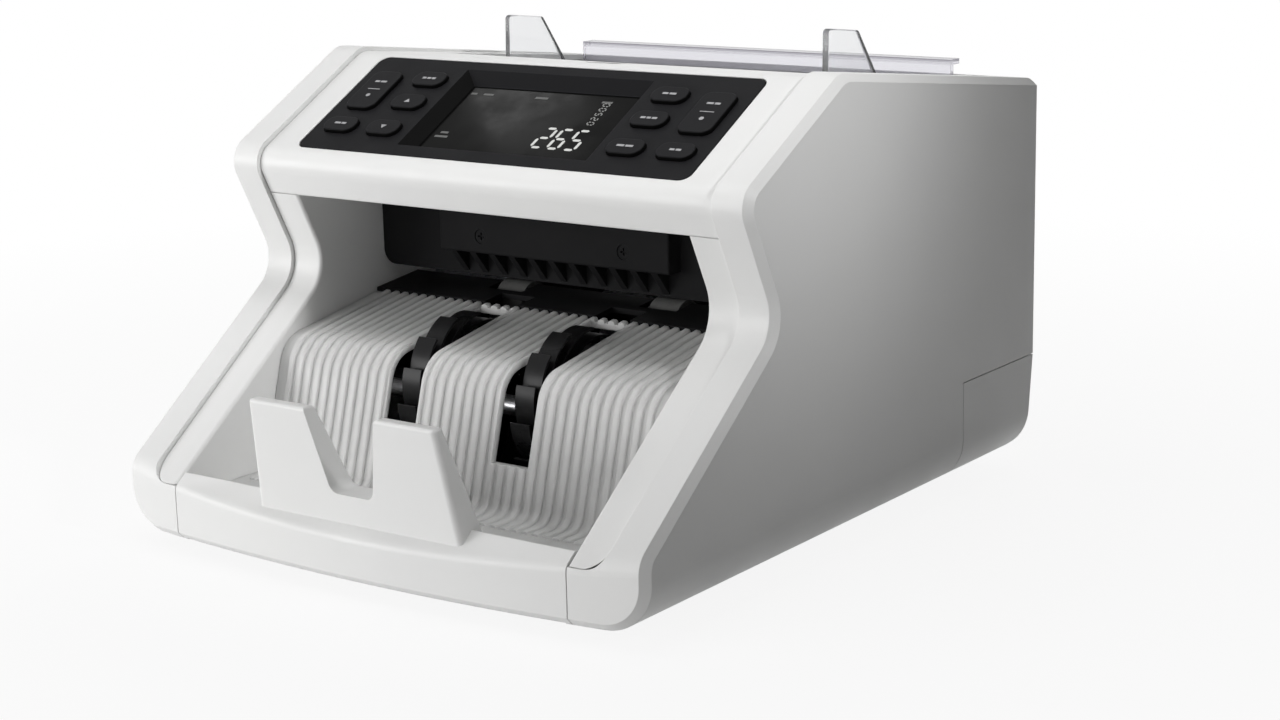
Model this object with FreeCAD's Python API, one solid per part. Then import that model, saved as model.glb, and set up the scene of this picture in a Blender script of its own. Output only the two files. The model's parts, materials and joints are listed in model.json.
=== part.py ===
"""Banknote counting machine: a rear-fed desktop counter with a front stacker.

Millimetres. X to the machine's right, Y to its rear, Z up; the origin is on the
table under the middle of the machine. Each piece is one STEP file in parts/.
"""
import FreeCAD
import Part
import math
import os

# Overall body, drawn as a side outline that runs from the front up and over to the rear
WIDTH = 252.0
FRONT_Y = -146.0
REAR_Y = 146.0
FOOT_HEIGHT = 5.3
WAIST_Y = -50.7
WAIST_Z = 97.0
NOSE_Y = -74.2
NOSE_Z = 145.6
BROW_Y = -6.4
BROW_Z = 182.6
TOP_REAR_Z = 164.5
CREASE_Z = 29.8
SKIRT_Z = 47.5
SKIRT_LENGTH = 61.0
REAR_TUCK = 5.5
COVER_SETBACK = 6.3
WALL = 2.5
COVER_STEP = 1.8
SEAM = 0.4
COVER_WIDTH = 16.0
COVER_CHAMFER = 3.0
BOTTOM_RADIUS = 18.0
CREASE_OUTER_RADIUS = 10.0
WAIST_RADIUS = 15.0
NOSE_RADIUS = 10.0
BROW_RADIUS = 14.0
REAR_RADIUS = 3.0
SKIRT_RADIUS = 30.0
HEEL_RADIUS = 8.0

# Front bow, columns, lip and the two-pronged paper stop
LIP_BOW = 9.5
COLUMN_WIDTH = 14.3
THROAT_BACK_Y = 18.0
COLUMN_EDGE_RADIUS = 1.5
COLUMN_FOOT_RADIUS = 8.4
CREASE_RADIUS = 4.0
LIP_DEPTH = 12.6
LIP_REAR_RADIUS = 1.2
STOP_BASE_HALF_WIDTH = 49.5
STOP_TOP_HALF_WIDTH = 45.0
STOP_BASE_SETBACK = 4.8
STOP_BASE_DEPTH = 15.2
STOP_LEAN = 7.3
STOP_TOP_THICKNESS = 5.5
STOP_TOP_Z = 70.0
STOP_CORNER_RADIUS = 2.2
STOP_EDGE_RADIUS = 1.2
FINGER_GAP_Z = 38.0
FINGER_GAP_BASE_HALF = 10.0
FINGER_GAP_TOP_HALF = 17.0
FINGER_GAP_RADIUS = 4.0

# Base pan and feet
PAN_THICKNESS = 2.5
PAN_RIM = 8.0
PAN_LIP_GAP = 4.4
PAN_RIM_SETBACK = 48.0
FOOT_RADIUS = 9.0
FOOT_EDGE_RADIUS = 1.2
FOOT_SIDE_INSET = 21.6
FOOT_FRONT_INSET = 34.0
FOOT_REAR_INSET = 26.0

# Stacker ramp
RAMP_REAR_Y = -20.7
RAMP_REAR_Z = 82.5
RAMP_CREST_Y = -77.0
RAMP_CREST_Z = 73.0
RAMP_CREST_RADIUS = 14.0
RAMP_FOOT_Y = -92.0
TRAY_FLOOR_Z = 22.0
RAMP_SHEET = 2.0
RAMP_RIB_HEIGHT = 1.0
RAMP_RIB_PITCH = 4.9
RAMP_RIB_WIDTH = 3.0
RAMP_RIB_RADIUS = 0.85
RAMP_SIDE_GAP = 0.4
WHEEL_SLOT_HALF_WIDTH = 8.5
WHEEL_SLOT_BOTTOM_Z = 40.0

# Stacker wheels
STACKER_Y = -46.0
STACKER_Z = 50.5
STACKER_RADIUS = 34.5
STACKER_HUB_RADIUS = 11.0
STACKER_WHEEL_X = 28.0
STACKER_WHEEL_WIDTH = 9.0
STACKER_VANES = 15
STACKER_VANE_THICKNESS = 1.1
STACKER_VANE_SWEEP = 115.0
STACKER_VANE_BEND = 0.55

# Throat: black panel above, exit plate below
PANEL_FACE_Y = -14.5
PANEL_FACE_BOTTOM_Z = 93.5
PANEL_FACE_THICKNESS = 3.0
PANEL_FACE_CORNER_RADIUS = 6.0
CENTRE_PLATE_HALF_WIDTH = 57.0
CENTRE_PLATE_DEPTH = 8.0
CENTRE_PLATE_EDGE_RADIUS = 0.8
CENTRE_PLATE_BOTTOM_Z = 104.0
FIN_COUNT = 11
FIN_PITCH = 10.0
FIN_THICKNESS = 3.0
FIN_TIP_Z = 94.5
THROAT_SCREW_X = 35.5
THROAT_SCREW_Z = 111.0
EXIT_REAR_Y = 6.0
EXIT_REAR_Z = 87.0
EXIT_SHEET = 2.0
EXIT_LIFT = 0.5

# Control housing and its panel, whose places are measured up the slope from the nose
HOUSING_BOTTOM_Z = 129.4
HOUSING_BACK_Y = 1.0
HOUSING_BOTTOM_RADIUS = 1.5
PANEL_SIDE_MARGIN = 14.6
PANEL_START = 8.8
PANEL_TOP_MARGIN = 5.4
PANEL_CORNER_RADIUS = 4.5
PANEL_THICKNESS = 4.5
PANEL_EDGE_RADIUS = 0.4
PANEL_FLANGE = 2.0
PANEL_FIT = 0.2
WINDOW_KEY_GAP = 5.0
WINDOW_LOW_MARGIN = 6.6
WINDOW_HIGH_MARGIN = 5.4
WINDOW_TAPER = 5.0
LENS_LAP = 2.0
LENS_THICKNESS = 2.0
DISPLAY_THICKNESS = 6.0
DISPLAY_MARGIN = 2.0
BOARD_DEPTH = 4.2
BOARD_THICKNESS = 1.6
BOARD_MARGIN = 3.0
POST_RADIUS = 2.5
POST_INSET = 5.0

# Keys: two columns on each side, with margins from the panel's edges
KEY_SIDE_MARGIN = 5.5
KEY_COLUMN_PITCH = 22.5
KEY_TOP_MARGIN = 10.3
KEY_LOW_MARGIN = 10.7
KEY_MIDDLE_OFFSET = 1.0
KEY_TALL_TOP_MARGIN = 11.8
KEY_TALL_GAP = 6.5
KEY_WIDTH = 16.0
KEY_HEIGHT = 9.0
KEY_TALL_WIDTH = 15.0
KEY_PROUD = 1.6
KEY_TRAVEL = 0.8
KEY_FIT = 0.3
KEY_FLANGE = 1.0
KEY_FLANGE_THICKNESS = 1.2
KEY_EDGE_RADIUS = 0.5
KEY_CORNER_RADIUS = 4.1
SWITCH_SIZE = 5.0

# Hopper on top
HOPPER_FRONT_Y = 31.0
HOPPER_REAR_RIM = 2.5
HOPPER_WALL = 1.3
HOPPER_SKIRT_Z = 141.0
TOP_SPLIT_INSET = 12.0
FLOOR_FRONT_Y = 45.0
FLOOR_FRONT_Z = 118.5
FLOOR_REAR_GAP = 1.0
FLOOR_REAR_Z = 151.0
TRAY_SHEET = 2.0
ROLLER_WINDOW_GAP = 2.0
REAR_PLATE_SETBACK = 2.5
REAR_PLATE_THICKNESS = 2.2
REAR_PLATE_TOP_Z = 172.5
REAR_PLATE_FLANGE = 5.0
REAR_PLATE_SIDE_GAP = 1.0
GUIDE_INSET = 16.5
GUIDE_THICKNESS = 3.0
GUIDE_FRONT_Y = 52.0
GUIDE_TOP_FRONT_Y = 54.6
GUIDE_TOP_FRONT_Z = 191.5
GUIDE_TOP_REAR_Y = 77.6
GUIDE_TOP_REAR_Z = 188.8
GUIDE_ARM_Y = 97.0
GUIDE_ARM_Z = 163.0
GUIDE_FLOOR_GAP = 1.5
GUIDE_CORNER_RADIUS = 2.0
GUIDE_EDGE_RADIUS = 0.6
GUIDE_HUB_RADIUS = 5.5
GUIDE_HUB_LENGTH = 14.0
RAIL_SETBACK = 7.5
RAIL_Z = 158.0
RAIL_RADIUS = 3.0
RUNNING_FIT = 0.06
KNOB_Y = 17.0
KNOB_RADIUS = 8.0
KNOB_HEIGHT = 5.0
KNOB_EDGE_RADIUS = 0.6
KNOB_STEM_RADIUS = 2.5
KNOB_STEM_LENGTH = 22.0
KNOB_CUP_GAP = 0.8
KNOB_SUNK = 1.0

# Chassis and drive
CHASSIS_THICKNESS = 1.5
CHASSIS_MARGIN = 9.0
CHASSIS_REACH = 40.0
SHAFT_RADIUS = 4.0
BUSH_RADIUS = 6.5
BUSH_LENGTH = 5.0
BUSH_FIT = 0.05
SHAFT_END = 5.0
FEED_Y = 37.0
FEED_Z = 97.0
FEED_ROLLER_RADIUS = 20.0
FEED_ROLLER_WIDTH = 18.0
FEED_ROLLER_X = 33.0
RETARD_RADIUS = 9.0
RETARD_WIDTH = 10.0
RETARD_LEAN = 16.0
NOTE_GAP = 0.5
PICKUP_Y = 88.0
PICKUP_Z = 121.5
PICKUP_RADIUS = 15.0
PICKUP_WIDTH = 14.0
TRANSPORT_Y = 6.0
TRANSPORT_Z = 79.0
TRANSPORT_RADIUS = 9.0
TRANSPORT_WIDTH = 14.0
TRANSPORT_X = 38.5
PINCH_RADIUS = 7.0
PINCH_SHAFT_RADIUS = 2.5
MOTOR_Y = 92.0
MOTOR_Z = 48.0
MOTOR_RADIUS = 22.0
MOTOR_LENGTH = 48.0
MOTOR_BOSS_RADIUS = 7.0
MOTOR_SHAFT_RADIUS = 3.0
PULLEY_BUSH_GAP = 0.8
PULLEY_STEP = 1.6
PULLEY_WIDTH = 9.0
INNER_PULLEY_WIDTH = 6.0
INNER_BELT_WIDTH = 3.5
PULLEY_FLANGE = 1.6
FEED_PULLEY_RADIUS = 14.0
PICKUP_PULLEY_RADIUS = 10.0
TRANSPORT_PULLEY_RADIUS = 6.3
FEED_INNER_PULLEY_RADIUS = 17.0
STACKER_PULLEY_RADIUS = 20.0
MOTOR_PULLEY_RADIUS = 9.0
BELT_THICKNESS = 1.6
BELT_WIDTH = 5.0
BELT_GAP = 0.3

# Rear sockets and electronics
SOCKET_Z = 78.0
INLET_INSET = 19.8
INLET_WIDTH = 27.0
INLET_HEIGHT = 19.5
INLET_DEPTH = 22.0
INLET_LIP = 3.5
INLET_PIN_X = 7.0
INLET_PIN_Z = 2.0
INLET_PIN_WIDTH = 2.0
INLET_PIN_HEIGHT = 4.0
SWITCH_PITCH = 32.0
SWITCH_WIDTH = 13.0
SWITCH_HEIGHT = 19.5
SWITCH_LIP = 1.8
SWITCH_DEPTH = 16.0
SOCKET_LIP_THICKNESS = 1.2
SWITCH_WALL = 1.2
ROCKER_DISH_RADIUS = 16.0
ROCKER_DISH_DEPTH = 1.0
ROCKER_PROUD = 0.2
ROCKER_FIT = 0.5
ROCKER_PIN_RADIUS = 1.5
ROCKER_PIN_DEPTH = 3.5
ROCKER_HEEL = 2.8
ROCKER_TAPER = 2.5
ROCKER_TILT = 6.0
PORT_X = -62.0
PORT_WIDTH = 11.5
PORT_HEIGHT = 9.5
PORT_PITCH = 17.0
PORT_COUNT = 3
PORT_DEPTH = 15.0
PORT_LIP = 1.0
PORT_WALL = 1.2
BOARD_SUPPLY_GAP = 4.0
MAIN_BOARD_WIDTH = 120.0
MAIN_BOARD_LENGTH = 70.0
MAIN_BOARD_X = 22.0
STANDOFF_HEIGHT = 7.0
STANDOFF_RADIUS = 3.0
STANDOFF_INSET = 5.0
SUPPLY_X = 25.0
SUPPLY_REAR_GAP = 17.0
SUPPLY_WIDTH = 100.0
SUPPLY_LENGTH = 50.0
SUPPLY_HEIGHT = 34.0
VENT_COUNT = 8
VENT_WIDTH = 3.0
VENT_INSET = 8.0
VENT_DEPTH = 1.5
CHIP_COUNT = 4
CHIP_SIZE = 12.0
CHIP_HEIGHT = 2.0
PLUG_WIDTH = 16.0
PLUG_DEPTH = 7.0
PLUG_HEIGHT = 8.0
SCREW_HEAD_RADIUS = 3.0
SCREW_HEAD_HEIGHT = 1.8
SCREW_SHANK_RADIUS = 1.5
SCREW_SHANK_LENGTH = 8.0
SCREW_FIT = 0.1
SCREW_CROSS_HALF = 1.6
SCREW_CROSS_GAP = 0.8
REAR_SCREW_INSET = 10.0
REAR_SCREW_LOW_Z = 60.0
REAR_SCREW_HIGH_Z = 138.0

# Values worked out from the sizes above: across the machine
HALF_WIDTH = WIDTH / 2
SEAM_X = HALF_WIDTH - COVER_WIDTH
INNER_X = SEAM_X - SEAM
THROAT_HALF_WIDTH = INNER_X - COLUMN_WIDTH
CHASSIS_X = THROAT_HALF_WIDTH + WALL
CHASSIS_OUT_X = CHASSIS_X + CHASSIS_THICKNESS
BUSH_OUT_X = CHASSIS_X + BUSH_LENGTH
INNER_PULLEY_X = BUSH_OUT_X + PULLEY_BUSH_GAP
PULLEY_X = INNER_PULLEY_X + INNER_PULLEY_WIDTH + PULLEY_STEP
HOPPER_HALF_WIDTH = CHASSIS_X - HOPPER_WALL
GUIDE_X = HOPPER_HALF_WIDTH - GUIDE_INSET
FOOT_X = INNER_X - FOOT_SIDE_INSET
INLET_X = CHASSIS_X - INLET_INSET
SWITCH_X = INLET_X - SWITCH_PITCH
REAR_SCREW_X = SEAM_X - REAR_SCREW_INSET
PANEL_HALF_WIDTH = INNER_X - PANEL_SIDE_MARGIN
KEY_OUTER_X = PANEL_HALF_WIDTH - KEY_SIDE_MARGIN - KEY_WIDTH / 2
KEY_INNER_X = KEY_OUTER_X - KEY_COLUMN_PITCH
WINDOW_HALF_WIDTH = KEY_INNER_X - KEY_WIDTH / 2 - WINDOW_KEY_GAP

# From the front
COVER_FRONT_Y = FRONT_Y + COVER_SETBACK
LOWER_SLOPE = (WAIST_Z - CREASE_Z) / (WAIST_Y - COVER_FRONT_Y)
LIP_REAR_Y = FRONT_Y + LIP_DEPTH
STOP_BASE_FRONT_Y = FRONT_Y + STOP_BASE_SETBACK
STOP_BASE_REAR_Y = STOP_BASE_FRONT_Y + STOP_BASE_DEPTH
STOP_TOP_FRONT_Y = STOP_BASE_FRONT_Y - STOP_LEAN
PAN_FRONT_Y = LIP_REAR_Y + PAN_LIP_GAP
PAN_RIM_FRONT_Y = PAN_FRONT_Y + PAN_RIM_SETBACK
FOOT_FRONT_Y = FRONT_Y + FOOT_FRONT_INSET

# From the rear
SKIRT_FRONT_Y = REAR_Y - SKIRT_LENGTH
TOP_SPLIT_Y = REAR_Y - TOP_SPLIT_INSET
HOPPER_REAR_Y = TOP_SPLIT_Y - HOPPER_REAR_RIM
FLOOR_REAR_Y = HOPPER_REAR_Y - FLOOR_REAR_GAP
REAR_PLATE_Y = FLOOR_REAR_Y - REAR_PLATE_SETBACK
RAIL_Y = REAR_PLATE_Y - RAIL_SETBACK
FOOT_REAR_Y = REAR_Y - FOOT_REAR_INSET
ROCKER_PIN_Y = REAR_Y - ROCKER_PIN_DEPTH
SUPPLY_Y = REAR_Y - SUPPLY_REAR_GAP - SUPPLY_LENGTH / 2
MAIN_BOARD_Y = SUPPLY_Y - SUPPLY_LENGTH / 2 - BOARD_SUPPLY_GAP - MAIN_BOARD_LENGTH / 2

# Up the panel's slope
PANEL_TILT = math.degrees(math.atan2(BROW_Z - NOSE_Z, BROW_Y - NOSE_Y))
PANEL_END = math.hypot(BROW_Y - NOSE_Y, BROW_Z - NOSE_Z) - PANEL_TOP_MARGIN
WINDOW_START = PANEL_START + WINDOW_LOW_MARGIN
WINDOW_END = PANEL_END - WINDOW_HIGH_MARGIN
KEY_LOW_ROW = PANEL_START + KEY_LOW_MARGIN + KEY_HEIGHT / 2
KEY_TOP_ROW = PANEL_END - KEY_TOP_MARGIN - KEY_HEIGHT / 2
KEY_MIDDLE_ROW = (KEY_LOW_ROW + KEY_TOP_ROW) / 2 + KEY_MIDDLE_OFFSET
KEY_TALL_TOP = PANEL_END - KEY_TALL_TOP_MARGIN
KEY_TALL_BOTTOM = KEY_LOW_ROW + KEY_HEIGHT / 2 + KEY_TALL_GAP
KEY_TALL_ROW = (KEY_TALL_TOP + KEY_TALL_BOTTOM) / 2
KEY_TALL_HEIGHT = KEY_TALL_TOP - KEY_TALL_BOTTOM

# In height, and places of the rollers
PAN_TOP_Z = FOOT_HEIGHT + PAN_THICKNESS
RETARD_REACH = FEED_ROLLER_RADIUS + RETARD_RADIUS + NOTE_GAP
RETARD_Y = FEED_Y - RETARD_REACH * math.sin(math.radians(RETARD_LEAN))
RETARD_Z = FEED_Z + RETARD_REACH * math.cos(math.radians(RETARD_LEAN))
PINCH_Z = TRANSPORT_Z + TRANSPORT_RADIUS + PINCH_RADIUS + NOTE_GAP


# Small geometry helpers
EDGE_TOLERANCE = 1e-3


def vec(x, y, z):
    return FreeCAD.Vector(x, y, z)


def box(x0, x1, y0, y1, z0, z1):
    return Part.makeBox(x1 - x0, y1 - y0, z1 - z0, vec(x0, y0, z0))


def rod_x(radius, x0, x1, y, z):
    return Part.makeCylinder(radius, x1 - x0, vec(x0, y, z), vec(1, 0, 0))


def ring_x(outer, inner, x0, x1, y, z):
    return rod_x(outer, x0, x1, y, z).cut(rod_x(inner, x0, x1, y, z))


def rod_y(radius, y0, y1, x, z):
    return Part.makeCylinder(radius, y1 - y0, vec(x, y0, z), vec(0, 1, 0))


def rod_z(radius, z0, z1, x, y):
    return Part.makeCylinder(radius, z1 - z0, vec(x, y, z0))


def mirrored(shape):
    return shape.mirror(vec(0, 0, 0), vec(1, 0, 0))


def both_sides(shape):
    return Part.makeCompound([shape, mirrored(shape)])


def outline_wire(points, radii, place):
    """Closed wire through 2-D points, with each corner rounded by its radius."""
    corners = [vec(a, b, 0) for a, b in points]
    count = len(corners)
    runs = []
    for i, corner in enumerate(corners):
        radius = radii[i]
        if radius <= 0:
            runs.append((corner, corner, corner))
            continue
        before = (corners[i - 1] - corner).normalize()
        after = (corners[(i + 1) % count] - corner).normalize()
        half = before.getAngle(after) / 2
        reach = radius / math.tan(half)
        middle = (before + after).normalize() * (radius / math.sin(half) - radius)
        runs.append((corner + before * reach, corner + middle, corner + after * reach))
    edges = []
    for i, (start, middle, end) in enumerate(runs):
        if radii[i] > 0:
            edges.append(Part.Arc(place(start), place(middle), place(end)).toShape())
        following = runs[(i + 1) % count][0]
        if end.distanceToPoint(following) > EDGE_TOLERANCE:
            edges.append(Part.LineSegment(place(end), place(following)).toShape())
    return Part.Wire(edges)


def slab_x(points, x0, x1, radii=None):
    """Prism of an outline given as (y, z) points, from x0 to x1."""
    wire = outline_wire(points, radii or [0] * len(points), lambda p: vec(x0, p.x, p.y))
    return Part.Face(wire).extrude(vec(x1 - x0, 0, 0))


def slab_y(points, y0, y1, radii=None):
    """Prism of an outline given as (x, z) points, from y0 to y1."""
    wire = outline_wire(points, radii or [0] * len(points), lambda p: vec(p.x, y0, p.y))
    return Part.Face(wire).extrude(vec(0, y1 - y0, 0))


def slab_z(points, z0, z1, radii=None):
    """Prism of an outline given as (x, y) points, from z0 to z1."""
    wire = outline_wire(points, radii or [0] * len(points), lambda p: vec(p.x, p.y, z0))
    return Part.Face(wire).extrude(vec(0, 0, z1 - z0))


def rectangle(a0, a1, b0, b1):
    return [(a0, b0), (a1, b0), (a1, b1), (a0, b1)]


def pad_z(x0, x1, y0, y1, z0, z1, radius):
    return slab_z(rectangle(x0, x1, y0, y1), z0, z1, [radius] * 4)


def inset(points, distance):
    """Outline drawn in by a distance; its points run clockwise, front, top, rear."""
    count = len(points)
    lines = []
    for i in range(count):
        a = vec(points[i][0], points[i][1], 0)
        along = (vec(points[(i + 1) % count][0], points[(i + 1) % count][1], 0) - a).normalize()
        lines.append((a + vec(along.y, -along.x, 0) * distance, along))
    moved = []
    for i in range(count):
        (p, d), (q, e) = lines[i - 1], lines[i]
        step = ((q.x - p.x) * e.y - (q.y - p.y) * e.x) / (d.x * e.y - d.y * e.x)
        moved.append((p.x + d.x * step, p.y + d.y * step))
    return moved


def top_z(y):
    return FACE_BROW[1] - TOP_FALL * (y - FACE_BROW[0])


def edges_where(shape, test):
    return [edge for edge in shape.Edges if test(edge)]


def on_plane_x(edge, x):
    return all(abs(vertex.X - x) < EDGE_TOLERANCE for vertex in edge.Vertexes)


def edges_at_z(shape, z):
    return edges_where(shape, lambda edge: all(abs(v.Z - z) < EDGE_TOLERANCE for v in edge.Vertexes))


def edges_at_y(shape, y):
    return edges_where(shape, lambda edge: all(abs(v.Y - y) < EDGE_TOLERANCE for v in edge.Vertexes))


def middle_of(edge):
    return edge.valueAt((edge.FirstParameter + edge.LastParameter) / 2)


# Side outline of the whole body
BODY = [
    (WAIST_Y - (WAIST_Z - FOOT_HEIGHT) / LOWER_SLOPE, FOOT_HEIGHT),
    (WAIST_Y, WAIST_Z),
    (NOSE_Y, NOSE_Z),
    (BROW_Y, BROW_Z),
    (REAR_Y, TOP_REAR_Z),
    (REAR_Y, SKIRT_Z),
    (REAR_Y - REAR_TUCK, FOOT_HEIGHT),
]
BODY_RADII = [0, WAIST_RADIUS, NOSE_RADIUS, BROW_RADIUS, REAR_RADIUS, SKIRT_RADIUS, HEEL_RADIUS]
WAIST_INDEX = 1
BROW_INDEX = 3
REAR_INDEX = 4


def body_radii(skin):
    """Corner radii of the outline drawn in by a skin: only the waist is hollow, so it grows."""
    radii = [max(radius - skin, 0) for radius in BODY_RADII]
    radii[WAIST_INDEX] = WAIST_RADIUS + skin
    return radii


def body_slab(skin, x0, x1, outline=BODY):
    return slab_x(inset(outline, skin), x0, x1, body_radii(skin))


# Front faces sit one step in from the covers; the lower slope runs on to the bow
FACE = inset(BODY, COVER_STEP)
FACE_WAIST, FACE_NOSE, FACE_BROW = FACE[1], FACE[2], FACE[3]

# Outline with the top cover's fall: level with the housing in front, with the covers at the rear
CROWN = BODY[:BROW_INDEX] + [FACE_BROW] + BODY[REAR_INDEX:]
TOP_FALL = (FACE_BROW[1] - TOP_REAR_Z) / (REAR_Y - FACE_BROW[0])
UNDER_TOP = WALL * math.hypot(1, TOP_FALL)

# Round that the front follows in plan
BOW_RADIUS = (LIP_BOW ** 2 + HALF_WIDTH ** 2) / (2 * LIP_BOW)


def slope_z(y):
    return FACE_WAIST[1] - LOWER_SLOPE * (FACE_WAIST[0] - y)


def slope_y(z):
    return FACE_WAIST[0] - (FACE_WAIST[1] - z) / LOWER_SLOPE


def chin_y(z):
    """Front face between the waist and the nose, at a height."""
    share = (z - FACE_WAIST[1]) / (FACE_NOSE[1] - FACE_WAIST[1])
    return FACE_WAIST[0] + share * (FACE_NOSE[0] - FACE_WAIST[0])


def bow(skin):
    """Upright drum that trims the front to its bowed plan."""
    return rod_z(BOW_RADIUS - skin, 0, BROW_Z, 0, FRONT_Y + BOW_RADIUS)


def bow_y(x):
    """Front of the bow at a place across the machine."""
    return FRONT_Y + BOW_RADIUS - math.sqrt(BOW_RADIUS ** 2 - x ** 2)


def is_crease(edge, proud, skin):
    """True for the edge where the bow, drawn in by a skin, meets a slope that stands proud of the face."""
    middle = middle_of(edge)
    off_slope = middle.z - slope_z(middle.y) - proud * math.hypot(1, LOWER_SLOPE)
    off_bow = math.hypot(middle.x, middle.y - FRONT_Y - BOW_RADIUS) - BOW_RADIUS + skin
    return abs(off_slope) < EDGE_TOLERANCE and abs(off_bow) < EDGE_TOLERANCE


# Side covers: deep trays with a chamfered rim and a large round along the bottom. Their toes reach
# in under the columns, up to the lip.
ROUND_TOP_Z = FOOT_HEIGHT + BOTTOM_RADIUS
COLUMN_FOOT_Z = slope_z(bow_y(THROAT_HALF_WIDTH))


def is_front_rim(edge, x):
    """True for the rim's edges along the front and the top, above the round along the bottom."""
    in_front = middle_of(edge).y < REAR_Y - REAR_TUCK - WALL
    on_round = all(abs(vertex.Z - ROUND_TOP_Z) < EDGE_TOLERANCE for vertex in edge.Vertexes)
    return on_plane_x(edge, x) and in_front and not on_round


def cover_block(skin):
    outer_x = HALF_WIDTH - skin
    radii = body_radii(skin)
    radii[REAR_INDEX] = 0
    side = slab_x(inset(BODY, skin), THROAT_HALF_WIDTH + skin, WIDTH, radii)
    front = rectangle(0, outer_x, FOOT_HEIGHT + skin, BROW_Z + WALL)
    round_radii = [0, BOTTOM_RADIUS - skin, 0, 0]
    block = side.common(bow(skin)).common(slab_y(front, FRONT_Y - WALL, REAR_Y + WALL, round_radii))
    crease = edges_where(block, lambda edge: is_crease(edge, COVER_STEP - skin, skin))
    block = block.makeFillet(CREASE_OUTER_RADIUS - skin, crease)
    chamfer = COVER_CHAMFER - skin * (2 - math.sqrt(2))
    return block.makeChamfer(chamfer, edges_where(block, lambda edge: is_front_rim(edge, outer_x)))


def rear_round():
    """What the round at the top rear corner takes off."""
    reach = REAR_RADIUS * 2
    corner = box(0, WIDTH, REAR_Y - reach, REAR_Y + WALL, TOP_REAR_Z - reach, TOP_REAR_Z + reach)
    return corner.cut(body_slab(0, 0, WIDTH))


def column_zone(gap):
    """Space inside the side cover for the column, rounded at its foot."""
    outer_x = SEAM_X - gap
    foot_z = COLUMN_FOOT_Z + gap
    y0, y1 = FRONT_Y - WALL, REAR_Y + WALL
    upper = slab_y(rectangle(0, outer_x, foot_z, BROW_Z + WALL), y0, y1, [0, COLUMN_FOOT_RADIUS, 0, 0])
    return upper.fuse(box(0, outer_x, LIP_REAR_Y + gap, y1, 0, foot_z))


def skirt_zone(gap):
    """Lower rear corner of the body, which belongs to the rear cover."""
    return box(-WIDTH, WIDTH, SKIRT_FRONT_Y - gap, REAR_Y + WALL, 0, SKIRT_Z + gap)


def side_shell():
    return cover_block(0).cut(cover_block(WALL)).cut(column_zone(0)).cut(rear_round())


def right_side_cover():
    return side_shell().cut(skirt_zone(SEAM))


# Columns: the front strip beside the throat, and the throat's side wall
def column_outline():
    return [
        (slope_y(FOOT_HEIGHT), FOOT_HEIGHT),
        FACE_WAIST,
        (chin_y(HOUSING_BOTTOM_Z), HOUSING_BOTTOM_Z),
        (THROAT_BACK_Y, HOUSING_BOTTOM_Z),
        (THROAT_BACK_Y, PAN_TOP_Z),
        (PAN_FRONT_Y, PAN_TOP_Z),
        (PAN_FRONT_Y, FOOT_HEIGHT),
    ]


def right_column():
    outline = column_outline()
    radii = [0, WAIST_RADIUS + COVER_STEP, 0, 0, 0, 0, 0]
    block = slab_x(outline, THROAT_HALF_WIDTH, INNER_X, radii)
    front = edges_where(block, lambda edge: on_plane_x(edge, THROAT_HALF_WIDTH) and is_front_edge(edge))
    block = block.makeFillet(COLUMN_EDGE_RADIUS, front).common(column_zone(SEAM))
    hollow = [inset(outline, WALL)[i] for i in range(3)]
    hollow[0] = (hollow[1][0] - hollow[1][1] / LOWER_SLOPE, 0)
    hollow[2] = (hollow[2][0], HOUSING_BOTTOM_Z + WALL)
    hollow += [(THROAT_BACK_Y + WALL, HOUSING_BOTTOM_Z + WALL), (THROAT_BACK_Y + WALL, 0)]
    cavity = slab_x(hollow, CHASSIS_X, SEAM_X, [0, WAIST_RADIUS + COVER_STEP + WALL, 0, 0, 0])
    block = block.cut(cavity)
    for y, z in ((STACKER_Y, STACKER_Z), (TRANSPORT_Y, TRANSPORT_Z), (TRANSPORT_Y, PINCH_Z)):
        block = block.cut(rod_x(BUSH_RADIUS + SEAM, 0, WIDTH, y, z))
    return block


def is_front_edge(edge):
    """True for edges on the slope, the waist round or the chin, which face the front."""
    middle = middle_of(edge)
    in_height = FOOT_HEIGHT + WALL < middle.z < HOUSING_BOTTOM_Z - EDGE_TOLERANCE
    near_slope = middle.y < slope_y(middle.z) + COVER_WIDTH
    on_pan = abs(middle.y - PAN_FRONT_Y) < EDGE_TOLERANCE
    return in_height and near_slope and not on_pan and middle.y < THROAT_BACK_Y - WALL


# Lip with the two-pronged paper stop
def lip_block(skin, x):
    drop = skin / math.cos(math.atan(LOWER_SLOPE))
    floor = FOOT_HEIGHT - skin
    outline = [
        (slope_y(floor + drop), floor),
        (LIP_REAR_Y - skin, slope_z(LIP_REAR_Y - skin) - drop),
        (LIP_REAR_Y - skin, floor),
    ]
    block = slab_x(outline, -x, x).common(bow(skin))
    if skin:
        return block
    block = block.makeFillet(CREASE_RADIUS, edges_where(block, lambda edge: is_crease(edge, 0, 0)))
    block = block.makeChamfer(COVER_CHAMFER, edges_where(block, is_lip_bottom))
    return block.makeFillet(LIP_REAR_RADIUS, edges_where(block, is_lip_rear))


def is_lip_bottom(edge):
    """True for the lip's bottom front edge."""
    middle = middle_of(edge)
    return abs(middle.z - FOOT_HEIGHT) < EDGE_TOLERANCE and abs(middle.y - FRONT_Y) < EDGE_TOLERANCE


def is_lip_rear(edge):
    """True for the lip's top rear edge, beside the tray."""
    middle = middle_of(edge)
    off_rear = abs(middle.y - LIP_REAR_Y)
    off_top = abs(middle.z - slope_z(LIP_REAR_Y))
    return off_rear < EDGE_TOLERANCE and off_top < EDGE_TOLERANCE


def stop_section(half_width, front_y, rear_y, z):
    points = rectangle(-half_width, half_width, front_y, rear_y)
    return outline_wire(points, [STOP_CORNER_RADIUS] * 4, lambda p: vec(p.x, p.y, z))


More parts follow.
